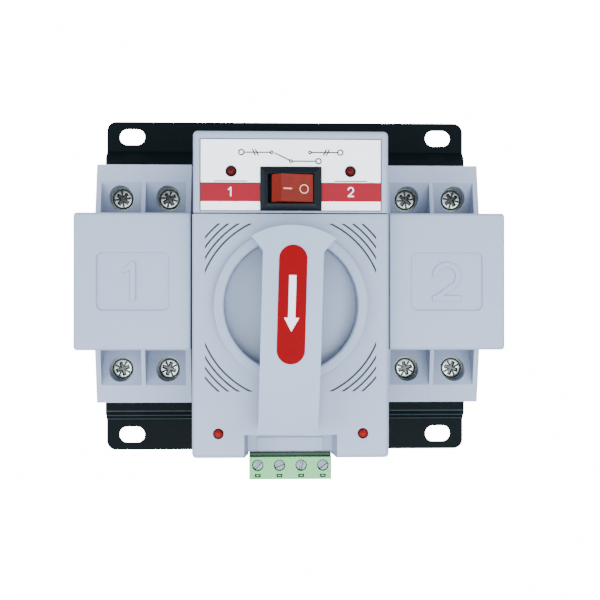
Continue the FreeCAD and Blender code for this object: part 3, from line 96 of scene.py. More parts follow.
class Wire:
    """One number in a node tree, usable in Python arithmetic.

    Args:
        shader: The shader that holds the socket.
        socket: The output that carries the number.
    """

    def __init__(self, shader: "Shader", socket: NodeSocket) -> None:
        """Keep the shader and the socket."""
        self.shader = shader
        self.socket = socket

    def math(self, operation: str, other: "Wire | float" = 0.0) -> "Wire":
        """Add a Math node for this and another number, and return its result."""
        sockets = {0: self, 1: other}
        return self.shader.add("ShaderNodeMath", {"operation": operation}, sockets)["Value"]

    def __add__(self, other: "Wire | float") -> "Wire":
        """Add."""
        return self.math("ADD", other)

    def __sub__(self, other: "Wire | float") -> "Wire":
        """Subtract."""
        return self.math("SUBTRACT", other)

    def __mul__(self, other: "Wire | float") -> "Wire":
        """Multiply."""
        return self.math("MULTIPLY", other)

    def __or__(self, other: "Wire") -> "Wire":
        """Give the greater of two wires of 0 or 1."""
        return self.math("MAXIMUM", other)

    def __gt__(self, other: float) -> "Wire":
        """Give 1 where this is greater."""
        return self.math("GREATER_THAN", other)

    def __lt__(self, other: float) -> "Wire":
        """Give 1 where this is less."""
        return self.math("LESS_THAN", other)

    def __abs__(self) -> "Wire":
        """Give the size without the sign."""
        return self.math("ABSOLUTE")


class Shader:
    """The node tree of a material or a world, filled one call at a time.

    Args:
        owner: The material or world.
    """

    def __init__(self, owner: Material | World) -> None:
        """Start with an empty node tree."""
        owner.use_nodes = True
        self.owner = owner
        self.tree = owner.node_tree
        self.tree.nodes.clear()

    @classmethod
    def named(cls, name: str) -> "Shader":
        """Start a new material of this name."""
        return cls(bpy.data.materials.new(name))

    def add(
        self, kind: str, settings: dict | None = None, inputs: dict | None = None,
    ) -> dict[str, Wire]:
        """Add a node.

        Args:
            kind: The node's type.
            settings: Its settings, set before its inputs.
            inputs: Values, colours or wires by input name or number.

        Returns:
            Its outputs as wires, by name.
        """
        node = self.tree.nodes.new(kind)
        for key, value in (settings or {}).items():
            setattr(node, key, value)
        for key, value in (inputs or {}).items():
            if isinstance(value, Wire):
                self.tree.links.new(value.socket, node.inputs[key])
            else:
                node.inputs[key].default_value = value
        shown = [socket for socket in node.outputs if socket.enabled]
        return {socket.name: Wire(self, socket) for socket in reversed(shown)}

    def place(self) -> Wire:
        """Return the object coordinates."""
        return self.add("ShaderNodeTexCoord")["Object"]

    def axes(self) -> tuple[Wire, Wire, Wire]:
        """Return X, Y and Z in millimetres."""
        parts = self.add("ShaderNodeSeparateXYZ", inputs={0: self.place()})
        return parts["X"] * 1000.0, parts["Y"] * 1000.0, parts["Z"] * 1000.0

    def noise(self, grain_mm: float, detail: float = 2.0, stretch: tuple = (1, 1, 1)) -> Wire:
        """Add noise.

        Args:
            grain_mm: The size of one grain.
            detail: The noise's detail.
            stretch: How much finer the noise is along each axis.

        Returns:
            The noise as a wire of about 0 to 1.
        """
        sockets = {"Vector": self.place(), "Scale": stretch}
        moved = self.add("ShaderNodeMapping", inputs=sockets)["Vector"]
        sockets = {"Vector": moved, "Scale": 1.0 / (grain_mm * MM), "Detail": detail}
        return self.add("ShaderNodeTexNoise", inputs=sockets)["Fac"]

    def mix(self, factor: Wire, first: "Wire | tuple", second: "Wire | tuple") -> Wire:
        """Mix two colours; inputs 0, 6 and 7 are the node's factor and its two colours."""
        inputs = {0: factor, 6: first, 7: second}
        return self.add("ShaderNodeMix", {"data_type": "RGBA"}, inputs)["Result"]

    def finish(
        self, base: Wire, rough: "Wire | float", height: Wire | None = None,
        lift_mm: float = 0.0, gloss: float = 0.5, extra: dict | None = None,
    ) -> Material:
        """Close the material with its surface shader.

        Args:
            base: The base colour.
            rough: The roughness.
            height: A height for the bump, if any.
            lift_mm: The bump's height.
            gloss: The strength of the plain reflection.
            extra: The surface shader's other inputs.

        Returns:
            The finished material.
        """
        sockets = {"Base Color": base, "Roughness": rough, "Specular IOR Level": gloss}
        sockets.update(extra or {})
        if height is not None:
            bump = {"Height": height, "Distance": lift_mm * MM, "Strength": 1.0}
            sockets["Normal"] = self.add("ShaderNodeBump", inputs=bump)["Normal"]
        surface = self.add("ShaderNodeBsdfPrincipled", inputs=sockets)["BSDF"]
        self.add("ShaderNodeOutputMaterial", inputs={"Surface": surface})
        return self.owner


def rgba(colour: tuple, gain: float = 1.0, lift: float = 0.0) -> tuple:
    """Scale a colour, add a little to it, hold it at 1 or less, and give it an alpha of 1."""
    return (*(min(1.0, part * gain + lift) for part in colour), 1.0)


@dataclass(frozen=True)
class Vents:
    """Where painted shade darkens the cover's curved grooves."""

    floor: float = 94.85
    middle: float = -9.1
    reach: float = 31.2
    half: float = 30.0
    # The near-black colour laid into the grooves is painted shade.
    colour: Triple = (0.018, 0.02, 0.026)

    def painted_shade_mask(self, shader: Shader) -> Wire:
        """Return 1 in the grooves: behind the face, outside the ring, within the field."""
        x, y, z = shader.axes()
        up = z - self.middle
        outside = x * x + up * up > self.reach**2
        return (y * -1.0 < self.floor) * outside * (abs(x) < self.half) * (abs(up) < self.half)


@dataclass(frozen=True)
class Seam:
    """Where painted shade darkens the gaps beside the unit covers and between the two front
    covers.
    """

    side: float = 34.3
    cover_half: float = 23.8
    cover_front: float = 90.1
    split: float = 23.3
    split_front: float = 94.7
    width: float = 0.5
    gap: float = 0.24
    # The dark colour laid on the gap walls is painted shade.
    colour: Triple = (0.012, 0.016, 0.02)

    def painted_shade_mask(self, shader: Shader) -> Wire:
        """Return 1 on the walls of the gaps: near the gap's plane and behind its mouth."""
        x, y, z = shader.axes()
        depth = y * -1.0
        beside = (abs(abs(x) - self.side) < self.width) * (abs(z) < self.cover_half)
        beside = beside * (depth < self.cover_front)
        between = (abs(z - self.split) < self.gap) * (depth < self.split_front)
        return beside | between * (abs(x) < self.side)


@dataclass(frozen=True)
class MouldedPlastic:
    """Injection moulded plastic with a fine spark-eroded grain and faint flow shading."""

    name: str
    colour: Triple
    roughness: float = 0.42
    grain_mm: float = 0.35
    grain_lift_mm: float = 0.006
    shade: float = 0.035
    gloss: float = 0.4
    # Places where painted shade darkens the colour: the seams and the vent grooves.
    dust_and_painted_shade: tuple[Seam | Vents, ...] = ()
    flow_mm: float = 38.0
    flow_share: float = 0.75
    speck_mm: float = 1.6
    scuff_mm: float = 6.0
    scuff: float = 0.14
    scuff_stretch: Triple = (1.0, 1.0, 0.35)

    def material(self) -> Material:
        """Build the material: two sizes of mottling, painted shade in seams and grooves, scuffed
        roughness, grain as bump.
        """
        shader = Shader.named(self.name)
        flow = shader.noise(self.flow_mm, 1.0)
        speck = shader.noise(self.speck_mm, 3.0)
        mottle = flow * self.flow_share + speck * (1.0 - self.flow_share)
        dark, light = (rgba(self.colour, 1.0 + shade) for shade in (-self.shade, self.shade))
        base = shader.mix(mottle, dark, light)
        # Painted shade: each place's dark colour is mixed into the base.
        for place in self.dust_and_painted_shade:
            base = shader.mix(place.painted_shade_mask(shader), base, rgba(place.colour))
        scuff = shader.noise(self.scuff_mm, 4.0, self.scuff_stretch)
        rough = scuff * self.scuff + (self.roughness - self.scuff / 2)
        grain = shader.noise(self.grain_mm, 2.0)
        return shader.finish(base, rough, grain, self.grain_lift_mm, self.gloss)


@dataclass(frozen=True)
class PowderCoat:
    """Sheet steel under a dark coat with an orange peel, with painted highlights as pale bands
    along the lower bends.
    """

    name: str
    colour: Triple
    roughness: float = 0.42
    gloss: float = 0.035
    cloud_mm: float = 22.0
    cloud_share: float = 0.6
    cloud_rough: float = 0.12
    dust_mm: float = 0.5
    dust_share: float = 0.3
    pale: Pair = (1.7, 0.0008)
    # Painted highlight on the lower bends: its colour gain and lift, its least share, the bends'
    # heights and half width.
    painted_highlight_tone: Pair = (9.0, 0.035)
    painted_highlight_least: float = 0.6
    painted_highlight_bends: tuple[float, ...] = (-53.8, -55.9, -57.6)
    painted_highlight_half: float = 0.2
    peel_mm: float = 0.9
    peel_lift_mm: float = 0.012

    def material(self) -> Material:
        """Build the material: faint clouds, dust, painted highlights on the lower bends and an
        orange-peel bump.
        """
        shader = Shader.named(self.name)
        cloud = shader.noise(self.cloud_mm, 2.0)
        # Here the noise is only a fine dust speckle in the coat.
        dust_and_painted_shade = shader.noise(self.dust_mm, 2.0)
        share = cloud * self.cloud_share + dust_and_painted_shade * self.dust_share
        base = shader.mix(share, rgba(self.colour), rgba(self.colour, *self.pale))
        up = shader.axes()[2]
        # Painted highlight: pale bands across the lower bends stand in for their reflections of
        # the low light.
        for bend in self.painted_highlight_bends:
            painted_highlight_share = cloud * (1.0 - self.painted_highlight_least) + self.painted_highlight_least
            share = (abs(up - bend) < self.painted_highlight_half) * painted_highlight_share
            base = shader.mix(share, base, rgba(self.colour, *self.painted_highlight_tone))
        rough = cloud * self.cloud_rough + (self.roughness - self.cloud_rough / 2)
        peel = shader.noise(self.peel_mm, 1.0)
        return shader.finish(base, rough, peel, self.peel_lift_mm, self.gloss)


@dataclass(frozen=True)
class PlatedMetal:
    """Plated or bare metal with fine turning or rolling marks, and painted shade darkening it
    behind a given depth.
    """

    name: str
    colour: Triple
    roughness: float = 0.26
    stretch: Triple = (1.0, 1.0, 4.0)
    painted_shade_behind: float = 0.0
    painted_shade_gain: float = 0.12
    dull_gain: float = 0.72
    patch_mm: float = 1.3
    patch_rough: float = 0.16
    streak_mm: float = 0.4
    streak_rough: float = 0.08
    streak_lift_mm: float = 0.004
    smoothest: float = 0.1

    def material(self) -> Material:
        """Build the material: mottled plating, streaks in one direction, painted shade behind a
        given depth.
        """
        shader = Shader.named(self.name)
        patch = shader.noise(self.patch_mm, 3.0)
        streak = shader.noise(self.streak_mm, 2.0, self.stretch)
        base = shader.mix(patch, rgba(self.colour, self.dull_gain), rgba(self.colour))
        # Painted shade: everything behind this depth is darkened.
        if self.painted_shade_behind:
            depth = shader.axes()[1] * -1.0
            painted_shade_colour = rgba(self.colour, self.painted_shade_gain)
            base = shader.mix(depth < self.painted_shade_behind, base, painted_shade_colour)
        rough = patch * self.patch_rough + streak * self.streak_rough
        rough = rough + (self.roughness - self.smoothest)
        return shader.finish(base, rough, streak, self.streak_lift_mm, extra={"Metallic": 1.0})


@dataclass(frozen=True)
class TintedPlastic:
    """Tinted plastic of a lamp or the rocker button: smooth, with a faint glow of its own colour;
    the rocker has no lamp, so its glow is painted light.
    """

    name: str
    colour: Triple
    glow: float = 0.08
    roughness: float = 0.16
    gloss: float = 0.06
    coat: float = 0.03
    coat_roughness: float = 0.12
    dense_gain: float = 0.62
    cloud_mm: float = 2.4
    cloud_rough: float = 0.08
    cloud_lift_mm: float = 0.01

    def material(self) -> Material:
        """Build the material: colour and glow that are denser in clouds, under a thin coat."""
        shader = Shader.named(self.name)
        cloud = shader.noise(self.cloud_mm, 2.0)
        base = shader.mix(cloud, rgba(self.colour, self.dense_gain), rgba(self.colour))
        rough = cloud * self.cloud_rough + self.roughness
        extra = {"Emission Color": base, "Emission Strength": self.glow,
                 "Coat Weight": self.coat, "Coat Roughness": self.coat_roughness}
        return shader.finish(base, rough, cloud, self.cloud_lift_mm, self.gloss, extra)


@dataclass(frozen=True)
class PrintedFilm:
    """A printed film: one ground colour with an optional band between two heights."""

    name: str
    ground: Triple
    band: Triple | None = None
    band_from: float = 0.0
    band_to: float = 0.0
    roughness: float = 0.4
    gloss: float = 0.15
    ground_gain: float = 0.94
    band_gain: float = 0.86
    ink_mm: float = 0.25
    ink_share: float = 0.2
    ink_lift_mm: float = 0.002
    cloud_mm: float = 14.0
    cloud_share: float = 0.6
    cloud_rough: float = 0.1

    def material(self) -> Material:
        """Build the material: ink density in fine dots, a crisp band, a faint film texture."""
        shader = Shader.named(self.name)
        ink = shader.noise(self.ink_mm, 1.0)
        cloud = shader.noise(self.cloud_mm, 1.0)
        share = cloud * self.cloud_share + ink * self.ink_share
        base = shader.mix(share, rgba(self.ground), rgba(self.ground, self.ground_gain))
        if self.band is not None:
            height = shader.axes()[2]
            inside = (height > self.band_from) * (height < self.band_to)
            share = ink * 0.5 + cloud * 0.5
            printed = shader.mix(share, rgba(self.band), rgba(self.band, self.band_gain))
            base = shader.mix(inside, base, printed)
        rough = cloud * self.cloud_rough + (self.roughness - self.cloud_rough / 2)
        return shader.finish(base, rough, ink, self.ink_lift_mm, self.gloss)


@dataclass(frozen=True)
class FloorPaint:
    """Matt pale paint."""

    name: str = "floor_pale"
    dark: float = 0.86
    light: float = 0.9
    cloud_mm: float = 300.0
    roughness: float = 0.8

    def material(self) -> Material:
        """Build the material: two greys in broad clouds."""
        shader = Shader.named(self.name)
        cloud = shader.noise(self.cloud_mm, 2.0)
        base = shader.mix(cloud, rgba((self.dark,) * 3), rgba((self.light,) * 3))
        return shader.finish(base, self.roughness)


class Finish(Enum):
    """Every finish on the object, by the part of it that wears it."""

    # Painted shade darkens the seams beside the unit covers and between the front covers.
    HOUSING = MouldedPlastic("housing_grey", (0.262, 0.308, 0.412), dust_and_painted_shade=(Seam(),))
    CASE = MouldedPlastic("case_grey", (0.30, 0.345, 0.45), roughness=0.46)
    HANDLE = MouldedPlastic("handle_grey", (0.258, 0.312, 0.425), roughness=0.4)
    # The plate's lower bends carry painted highlights.
    PLATE = PowderCoat("plate_black", (0.001, 0.0026, 0.0034))
    # Painted shade darkens the seams and the vent grooves.
    COVER = MouldedPlastic("cover_grey", (0.262, 0.308, 0.412), dust_and_painted_shade=(Seam(), Vents()))
    ZINC = PlatedMetal("zinc_plating", (0.40, 0.42, 0.40))
    # Painted shade darkens the heads' rolled rims and skirts behind this depth.
    CLAMP_SCREW = PlatedMetal("clamp_screw_zinc", (0.40, 0.42, 0.40), painted_shade_behind=43.6)
    COLLAR = PlatedMetal("collar_zinc", (0.42, 0.46, 0.37), roughness=0.4)
    PLUG_SCREW = PlatedMetal("plug_screw_zinc", (0.13, 0.15, 0.16), roughness=0.34)
    BRIGHT = PlatedMetal("bright_steel", (0.55, 0.56, 0.58), roughness=0.3)
    COPPER = PlatedMetal("bare_copper", (0.78, 0.40, 0.26), roughness=0.32)
    BRASS = PlatedMetal("bare_brass", (0.78, 0.60, 0.28), roughness=0.3)
    BEZEL = MouldedPlastic(
        "bezel_black", (0.0034, 0.0056, 0.0082), 0.34, grain_lift_mm=0.003, gloss=0.08)
    BLACK = MouldedPlastic("inner_black", (0.012, 0.012, 0.013), roughness=0.5)
    NYLON = MouldedPlastic("natural_nylon", (0.72, 0.70, 0.63), roughness=0.4)
    # Painted light: the rocker has no lamp inside, yet glows faintly.
    ROCKER = TintedPlastic("rocker_red", (0.155, 0.014, 0.008), glow=0.15)
    LAMP = TintedPlastic("lamp_red", (0.075, 0.004, 0.005), glow=0.05)
    LAMP_CLEAR = TintedPlastic("lamp_bright_red", (0.22, 0.006, 0.006), glow=0.2)
    PLUG = MouldedPlastic("plug_green", (0.11, 0.40, 0.135), roughness=0.4, grain_lift_mm=0.003)
    HEADER = MouldedPlastic(
        "header_green", (0.0055, 0.028, 0.011), 0.36, grain_lift_mm=0.003, gloss=0.2)
    BOARD = MouldedPlastic("board_green", (0.01, 0.09, 0.03), roughness=0.3, grain_lift_mm=0.002)
    LABEL = PrintedFilm(
        "label_print", (0.96, 0.97, 0.985), (0.235, 0.0025, 0.012), 27.3, 33.8)
    STICKER = PrintedFilm("sticker_red", (0.185, 0.0016, 0.0042), gloss=0.02)
    WHITE_INK = PrintedFilm("white_ink", (0.74, 0.79, 0.88))
    ROCKER_INK = PrintedFilm("rocker_ink", (0.62, 0.34, 0.26))
    GREY_INK = PrintedFilm("grey_ink", (0.018, 0.02, 0.026))
    MARK = MouldedPlastic(
        "mark_green", (0.002, 0.014, 0.005), 0.4, grain_lift_mm=0.002, gloss=0.1)


@cache
def material_of(finish: Finish) -> Material:
    """Return a finish's material, built once."""
    return finish.value.material()


# ---- surfaces


def world(x: np.ndarray, z: np.ndarray, depth: np.ndarray) -> np.ndarray:
    """Turn (x, z, depth) in millimetres into points in metres."""
    x, z, depth = np.broadcast_arrays(x, z, depth)
    return np.stack([x, -depth, z], axis=-1) * MM


def circle(steps: int) -> np.ndarray:
    """Return the angles of evenly spread points round a circle, in radians."""
    return np.linspace(0.0, 2 * np.pi, steps, endpoint=False)


def mesh_of(name: str, points: np.ndarray, faces: list) -> Mesh:
    """Make a mesh from points in metres and the faces that join them."""
    mesh = bpy.data.meshes.new(name)
    mesh.from_pydata(points.reshape(-1, 3).tolist(), [], faces)
    return mesh


def put(name: str, data: ID) -> Object:
    """Make an object from a mesh, light or camera and link it to the scene."""
    piece = bpy.data.objects.new(name, data)
    bpy.context.scene.collection.objects.link(piece)
    return piece


def closed_rings(
    name: str, rings: np.ndarray, turn_at: float = 40.0, hollow: bool = False,
) -> Object:
    """Make a closed solid from rings of points.

    Face (i, j) joins points j and j + 1 of rings i and i + 1; the last point joins the first.
    The ends get one face each; in a hollow piece the last ring joins the first instead.

    Args:
        name: The piece's name.
        rings: Points in metres, of shape (rings, points, 3).
        turn_at: Edges that turn more than this many degrees stay sharp.
        hollow: Whether the piece has no ends.

    Returns:
        The object, with its faces outward.
    """
    rows, columns = rings.shape[:2]
    bands = rows if hollow else rows - 1
    row, column = np.meshgrid(np.arange(bands), np.arange(columns), indexing="ij")
    beside, after = (column + 1) % columns, (row + 1) % rows
    corners = [row * columns + column, row * columns + beside,
               after * columns + beside, after * columns + column]
    faces = np.stack(corners, axis=-1).reshape(-1, 4).tolist()
    if not hollow:
        faces.append(list(range(columns))[::-1])
        faces.append(list(range((rows - 1) * columns, rows * columns)))
    mesh = mesh_of(name, rings, faces)
    work = bmesh.new()
    work.from_mesh(mesh)
    bmesh.ops.recalc_face_normals(work, faces=work.faces)
    work.to_mesh(mesh)
    work.free()
    mesh.shade_smooth()
    mesh.set_sharp_from_angle(angle=math.radians(turn_at))
    return put(name, mesh)


def rounded_rectangle(width: float, height: float, radius: float, steps: int = 3) -> np.ndarray:
    """Draw a rectangle with four quarter circles for corners.

    Args:
        width: The whole width.
        height: The whole height.
        radius: The corner radius.
        steps: Points on each corner.

    Returns:
        The outline, anticlockwise, of shape (points, 2).
    """
    angle = np.linspace(0.0, np.pi / 2, steps)
    corner = np.stack([np.cos(angle), np.sin(angle)], axis=-1) * radius
    signs = np.array([[1, 1], [-1, 1], [-1, -1], [1, -1]])
    middles = signs * [width / 2 - radius, height / 2 - radius]
    quarters = [corner, corner[::-1] * [-1, 1], -corner, corner[::-1] * [1, -1]]
    return np.concatenate([part + middle for part, middle in zip(quarters, middles)])


def turned(
    name: str, centre: Pair, profile: np.ndarray, sides: int, hollow: bool = False,
) -> Object:
    """Turn a profile of (radius, depth) about an axis that points forward.

    Args:
        name: The piece's name.
        centre: X and Z of the axis.
        profile: The half section, from the axis round to the axis.
        sides: The steps round.
        hollow: Whether the section is a loop clear of the axis.

    Returns:
        The object.
    """
    angle = circle(sides)
    radius, depth = profile[:, :1], profile[:, 1:]
    x = centre[0] + radius * np.cos(angle)
    z = centre[1] + radius * np.sin(angle)
    sharp = PRINT_TURN if hollow else TURNED_TURN
    return closed_rings(name, world(x, z, depth), sharp, hollow)


@dataclass(frozen=True)
class ScrewHead:
    """A screw's head: a low dome that rolls off at the rim, cut by a slot or a cross.

    It is a height over a disc. The dome falls with the square of the distance from the
    middle, the rim rolls off as a quarter ellipse, and each slot takes its depth away over a
    smooth step. A share is a share of the radius.
    """

    radius: float
    slots: tuple[float, ...]
    slot_half: float
    slot_deep: float
    tick_half: float = 0.0
    tick_ways: tuple[float, ...] = (45.0, 135.0)
    tick_share: float = 0.84
    tick_depth: float = 0.5
    tick_wall: float = 1 / 20
    wall: float = 1 / 12
    cross_share: float = 0.74
    cross_end: float = 1 / 10
    dome: float = 0.06
    rim_share: float = 0.86
    rim_roll: float = 0.35
    skirt: float = 0.36
    sides: int = 120
    rings: int = 44
    first_share: float = 0.999
    last_share: float = 0.02
    turn_at: float = 50.0

    def shape(self, name: str, centre: Pair, back: float, front: float, turn: float) -> Object:
        """Shape one head.

        Args:
            name: The piece's name.
            centre: X and Z of the screw.
            back: The depth of the head's underside.
            front: The depth of the head's top.
            turn: How far the slots are turned, in degrees.

        Returns:
            The object.
        """
        angle = circle(self.sides)[None, :]
        share = np.linspace(self.first_share, self.last_share, self.rings)[:, None]
        across = share * self.radius * np.cos(angle)
        up = share * self.radius * np.sin(angle)

        def cut(way: float, half: float, wall: float) -> tuple[np.ndarray, np.ndarray]:
            """Return 1 near a line through the middle, and the distance along it."""
            cosine, sine = math.cos(math.radians(turn + way)), math.sin(math.radians(turn + way))
            off = np.abs(-across * sine + up * cosine)
            along = np.abs(across * cosine + up * sine)
            return np.clip((half + wall - off) / wall, 0, 1), along

        groove = np.zeros_like(across)
        for slot in self.slots:
            depth, along = cut(slot, self.slot_half, self.radius * self.wall)
            if len(self.slots) > 1:
                left = self.radius * self.cross_share - along
                ends = np.clip(left / (self.radius * self.cross_end), 0, 1)
            else:
                ends = 1.0
            groove = np.maximum(groove, depth * depth * (3 - 2 * depth) * ends)
        if self.tick_half:
            for way in self.tick_ways:
                depth, _ = cut(way, self.tick_half, self.radius * self.tick_wall)
                tick = depth * (share < self.tick_share)
                groove = np.maximum(groove, tick * self.tick_depth)
        rim = np.clip((share - self.rim_share) / (1 - self.rim_share), 0, 1)
        fall = self.dome * share**2 * self.radius
        fall = fall + self.rim_roll * (1 - np.sqrt(np.clip(1 - rim**2, 0, 1)))
        skirt = np.array([[back], [front - self.skirt]])
        around = self.radius * np.cos(angle), self.radius * np.sin(angle)
        x = np.concatenate([around[0].repeat(2, 0), across]) + centre[0]
        z = np.concatenate([around[1].repeat(2, 0), up]) + centre[1]
        depth = np.concatenate([skirt + 0 * angle, front - fall - groove * self.slot_deep])
        return closed_rings(name, world(x, z, depth), self.turn_at)


def flat_print(name: str, outline: np.ndarray, depth: float, sheet: float = INK_SHEET) -> Object:
    """Lay a flat closed outline at a depth, as thick as a layer of ink or film."""
    x, z = outline[:, 0], outline[:, 1]
    rings = np.array([world(x, z, level) for level in (depth - sheet, depth)])
    return closed_rings(name, rings, PRINT_TURN)


def arc(centre: Pair, radius: float, start: float, stop: float, steps: int) -> np.ndarray:
    """Return points on a circle between two angles in degrees."""
    angle = np.radians(np.linspace(start, stop, steps))
    return np.array(centre) + radius * np.stack([np.cos(angle), np.sin(angle)], axis=-1)


def strokes(name: str, paths: list[np.ndarray], width: float, depth: float) -> Object:
    """Print pen strokes: each run of a path is a thin closed bar with square ends.

    A run is its line moved by half the width to both sides, and a quarter of the width
    longer at both ends so that runs meet without a gap.

    Args:
        name: The piece's name.
        paths: Open paths of (x, z).
        width: The pen's width.
        depth: The depth of the ink's face.

    Returns:
        All strokes as one object.
    """
    starts = np.concatenate([path[:-1] for path in paths])
    stops = np.concatenate([path[1:] for path in paths])
    along = stops - starts
    along /= np.linalg.norm(along, axis=1, keepdims=True)
    side = np.stack([-along[:, 1], along[:, 0]], axis=-1) * width / 2
    starts, stops = starts - along * width / 4, stops + along * width / 4
    flat = np.stack([starts - side, stops - side, stops + side, starts + side], axis=1)
    rise = RUN_STEP * (np.arange(len(flat)) % RUN_LEVELS)[:, None] + np.zeros(flat.shape[:2])
    rear, front = (world(flat[..., 0], flat[..., 1], level + rise)
                   for level in (depth - INK_SHEET, depth))
    cell = np.array([[3, 2, 1, 0], [4, 5, 6, 7], [0, 1, 5, 4],
                     [1, 2, 6, 5], [2, 3, 7, 6], [3, 0, 4, 7]])
    faces = (np.arange(len(flat))[:, None, None] * 8 + cell).reshape(-1, 4).tolist()
    return put(name, mesh_of(name, np.concatenate([rear, front], axis=1), faces))


# ---- placing pieces


@dataclass(frozen=True)
class Place:
    """Where a CAD node is: its X, Z and depth limits in millimetres."""

    x0: float
    x1: float
    z0: float
    z1: float
    back: float
    front: float

    @classmethod
    def of(cls, node: str) -> "Place":
        """Read a node's limits from the frame."""
        low, high = (np.array(corner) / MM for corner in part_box(node))
        return cls(low[0], high[0], low[2], high[2], -high[1], -low[1])

    @property
    def middle(self) -> Pair:
        """Return the middle in X and Z."""
        return ((self.x0 + self.x1) / 2, (self.z0 + self.z1) / 2)

    def ends(self, inset: float) -> Pair:
        """Return the left and right limits, each moved inwards."""
        return self.x0 + inset, self.x1 - inset


class Builder:
    """Places pieces on the frame and dresses the frame's own nodes.
    """

    def __init__(self, frame: dict) -> None:
        """Note the frame's nodes and which body each rides on."""
        record = frame["record"]
        self.nodes = frame["nodes"]
        self.slots = {part["node"]: part["material_slot"] for part in record["subparts"]}
        self.joints = record["behaviour"]["joints"]
        bodies = record["behaviour"]["bodies"]
        self.body_of = {node: body for body, members in bodies.items() for node in members}

    def dress(self, node: str, finish: Finish) -> None:
        """Give a CAD node a finish of its own."""
        mesh = self.nodes[node].data
        mesh.materials.clear()
        mesh.materials.append(material_of(finish))
        LOG.info("dressed %s in %s", node, finish.name)

    def fix(
        self, piece: Object, node: str, finish: Finish, replaces: bool = False,
    ) -> None:
        """Fix a new piece to a node's body.

        Args:
            piece: The new piece.
            node: The CAD node that it belongs to.
            finish: Its finish.
            replaces: Whether it stands for the node.
        """
        piece.data.materials.clear()
        piece.data.materials.append(material_of(finish))
        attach(piece, self.body_of[node])
        if replaces:
            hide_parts(node)
        LOG.info("made %s on %s", piece.name, self.body_of[node])

    def soften(
        self, node: str, finish: Finish, bevel: float, segments: int = 2, sink: float = 0.0,
    ) -> None:
        """Stand a copy with rounded edges in a CAD node's place.

        Loose triangles are merged into flat faces, then every sharp edge gets a small round.

        Args:
            node: The CAD node.
            finish: The copy's finish.
            bevel: The width of the round.
            segments: The steps across the round.
            sink: How far back the copy sits, to leave room for ink.
        """
        mesh = self.nodes[node].data.copy()
        work = bmesh.new()
        work.from_mesh(mesh)
        bmesh.ops.remove_doubles(work, verts=work.verts, dist=MERGE_M)
        bmesh.ops.dissolve_limit(
            work, angle_limit=math.radians(FLAT_TURN), verts=work.verts, edges=work.edges)
        bmesh.ops.translate(work, verts=work.verts, vec=(0.0, sink * MM, 0.0))
        work.to_mesh(mesh)
        work.free()
        if mesh.has_custom_normals:
            mesh.attributes.remove(mesh.attributes["custom_normal"])
        mesh.shade_smooth()
        mesh.set_sharp_from_angle(angle=math.radians(EDGE_TURN))
        piece = put("soft_" + node, mesh)
        modifier = piece.modifiers.new("Rounding", "BEVEL")
        modifier.width = bevel * MM
        modifier.segments = segments
        modifier.limit_method = "ANGLE"
        modifier.angle_limit = math.radians(EDGE_TURN)
        modifier.harden_normals = True
        modifier.use_clamp_overlap = True
        self.fix(piece, node, finish, replaces=True)


# ---- sub-assemblies


@dataclass
class SwitchUnit:
    """One two-pole unit with its cover and terminal screws."""

    side: str
    edge: float = 0.35
    cover_edge: float = 0.12
    clamp_edge: float = 0.2
    head: ScrewHead = ScrewHead(3.75, (0.0, 90.0), 0.42, 1.3, 0.14)
    head_rise: float = 2.6
    turns: tuple[float, ...] = (18.0, 52.0, 71.0, 33.0)
    thread_point: Pair = (2.1, 0.4)
    thread_radius: float = 2.4
    thread_overlap: float = 0.05
    thread_sides: int = 32
    collar_inner: float = 3.97
    collar_outer: float = 4.62
    collar_span: Pair = (38.7, 43.5)
    collar_bevel: float = 0.1
    collar_sides: int = 48

    def build(self, builder: Builder) -> None:
        """Make the unit's visible pieces."""
        for part in ("inner_case", "partition", "outer_case"):
            builder.soften(f"{self.side}_{part}", Finish.CASE, self.edge)
        builder.soften(f"{self.side}_cover", Finish.HOUSING, self.cover_edge)
        builder.soften(f"{self.side}_cage_clamps", Finish.ZINC, self.clamp_edge)
        inside = {
            Finish.COPPER: "fixed_contacts contact_arms",
            Finish.BRIGHT: "arc_chutes toggle_shaft case_rivets",
            Finish.BLACK: "toggle",
        }
        for finish, parts in inside.items():
            for part in parts.split():
                builder.dress(f"{self.side}_{part}", finish)
        self.screws(builder)

    def collar(self) -> np.ndarray:
        """Return the section of the plated collar round a screw, inside its hole."""
        inner, outer, (back, front) = self.collar_inner, self.collar_outer, self.collar_span
        bevel = self.collar_bevel
        return np.array([[inner, back], [inner, front - bevel], [inner + bevel, front],
                         [outer, front - bevel], [outer, back]])

    def screws(self, builder: Builder) -> None:
        """Make the four clamp screws with their threads and collars."""
        node = f"{self.side}_terminal_screws"
        place = Place.of(node)
        seat = place.front - self.head_rise
        root, point = self.thread_point
        top = seat + self.thread_overlap
        thread = np.array([[AXIS, place.back], [root, place.back],
                           [self.thread_radius, place.back + point],
                           [self.thread_radius, top], [AXIS, top]])
        reach = self.head.radius
        spots = [(x, z) for x in place.ends(reach) for z in (place.z0 + reach, place.z1 - reach)]
        for mark, (spot, turn) in enumerate(zip(spots, self.turns), start=1):
            name = f"{self.side}_clamp_screw_{mark}"
            screw = self.head.shape(name, spot, seat, place.front, turn)
            builder.fix(screw, node, Finish.CLAMP_SCREW, replaces=True)
            name = f"{self.side}_clamp_thread_{mark}"
            shank = turned(name, spot, thread, self.thread_sides)
            builder.fix(shank, node, Finish.ZINC)
            name = f"{self.side}_clamp_collar_{mark}"
            ring = turned(name, spot, self.collar(), self.collar_sides, True)
            builder.fix(ring, f"{self.side}_cage_clamps", Finish.COLLAR)


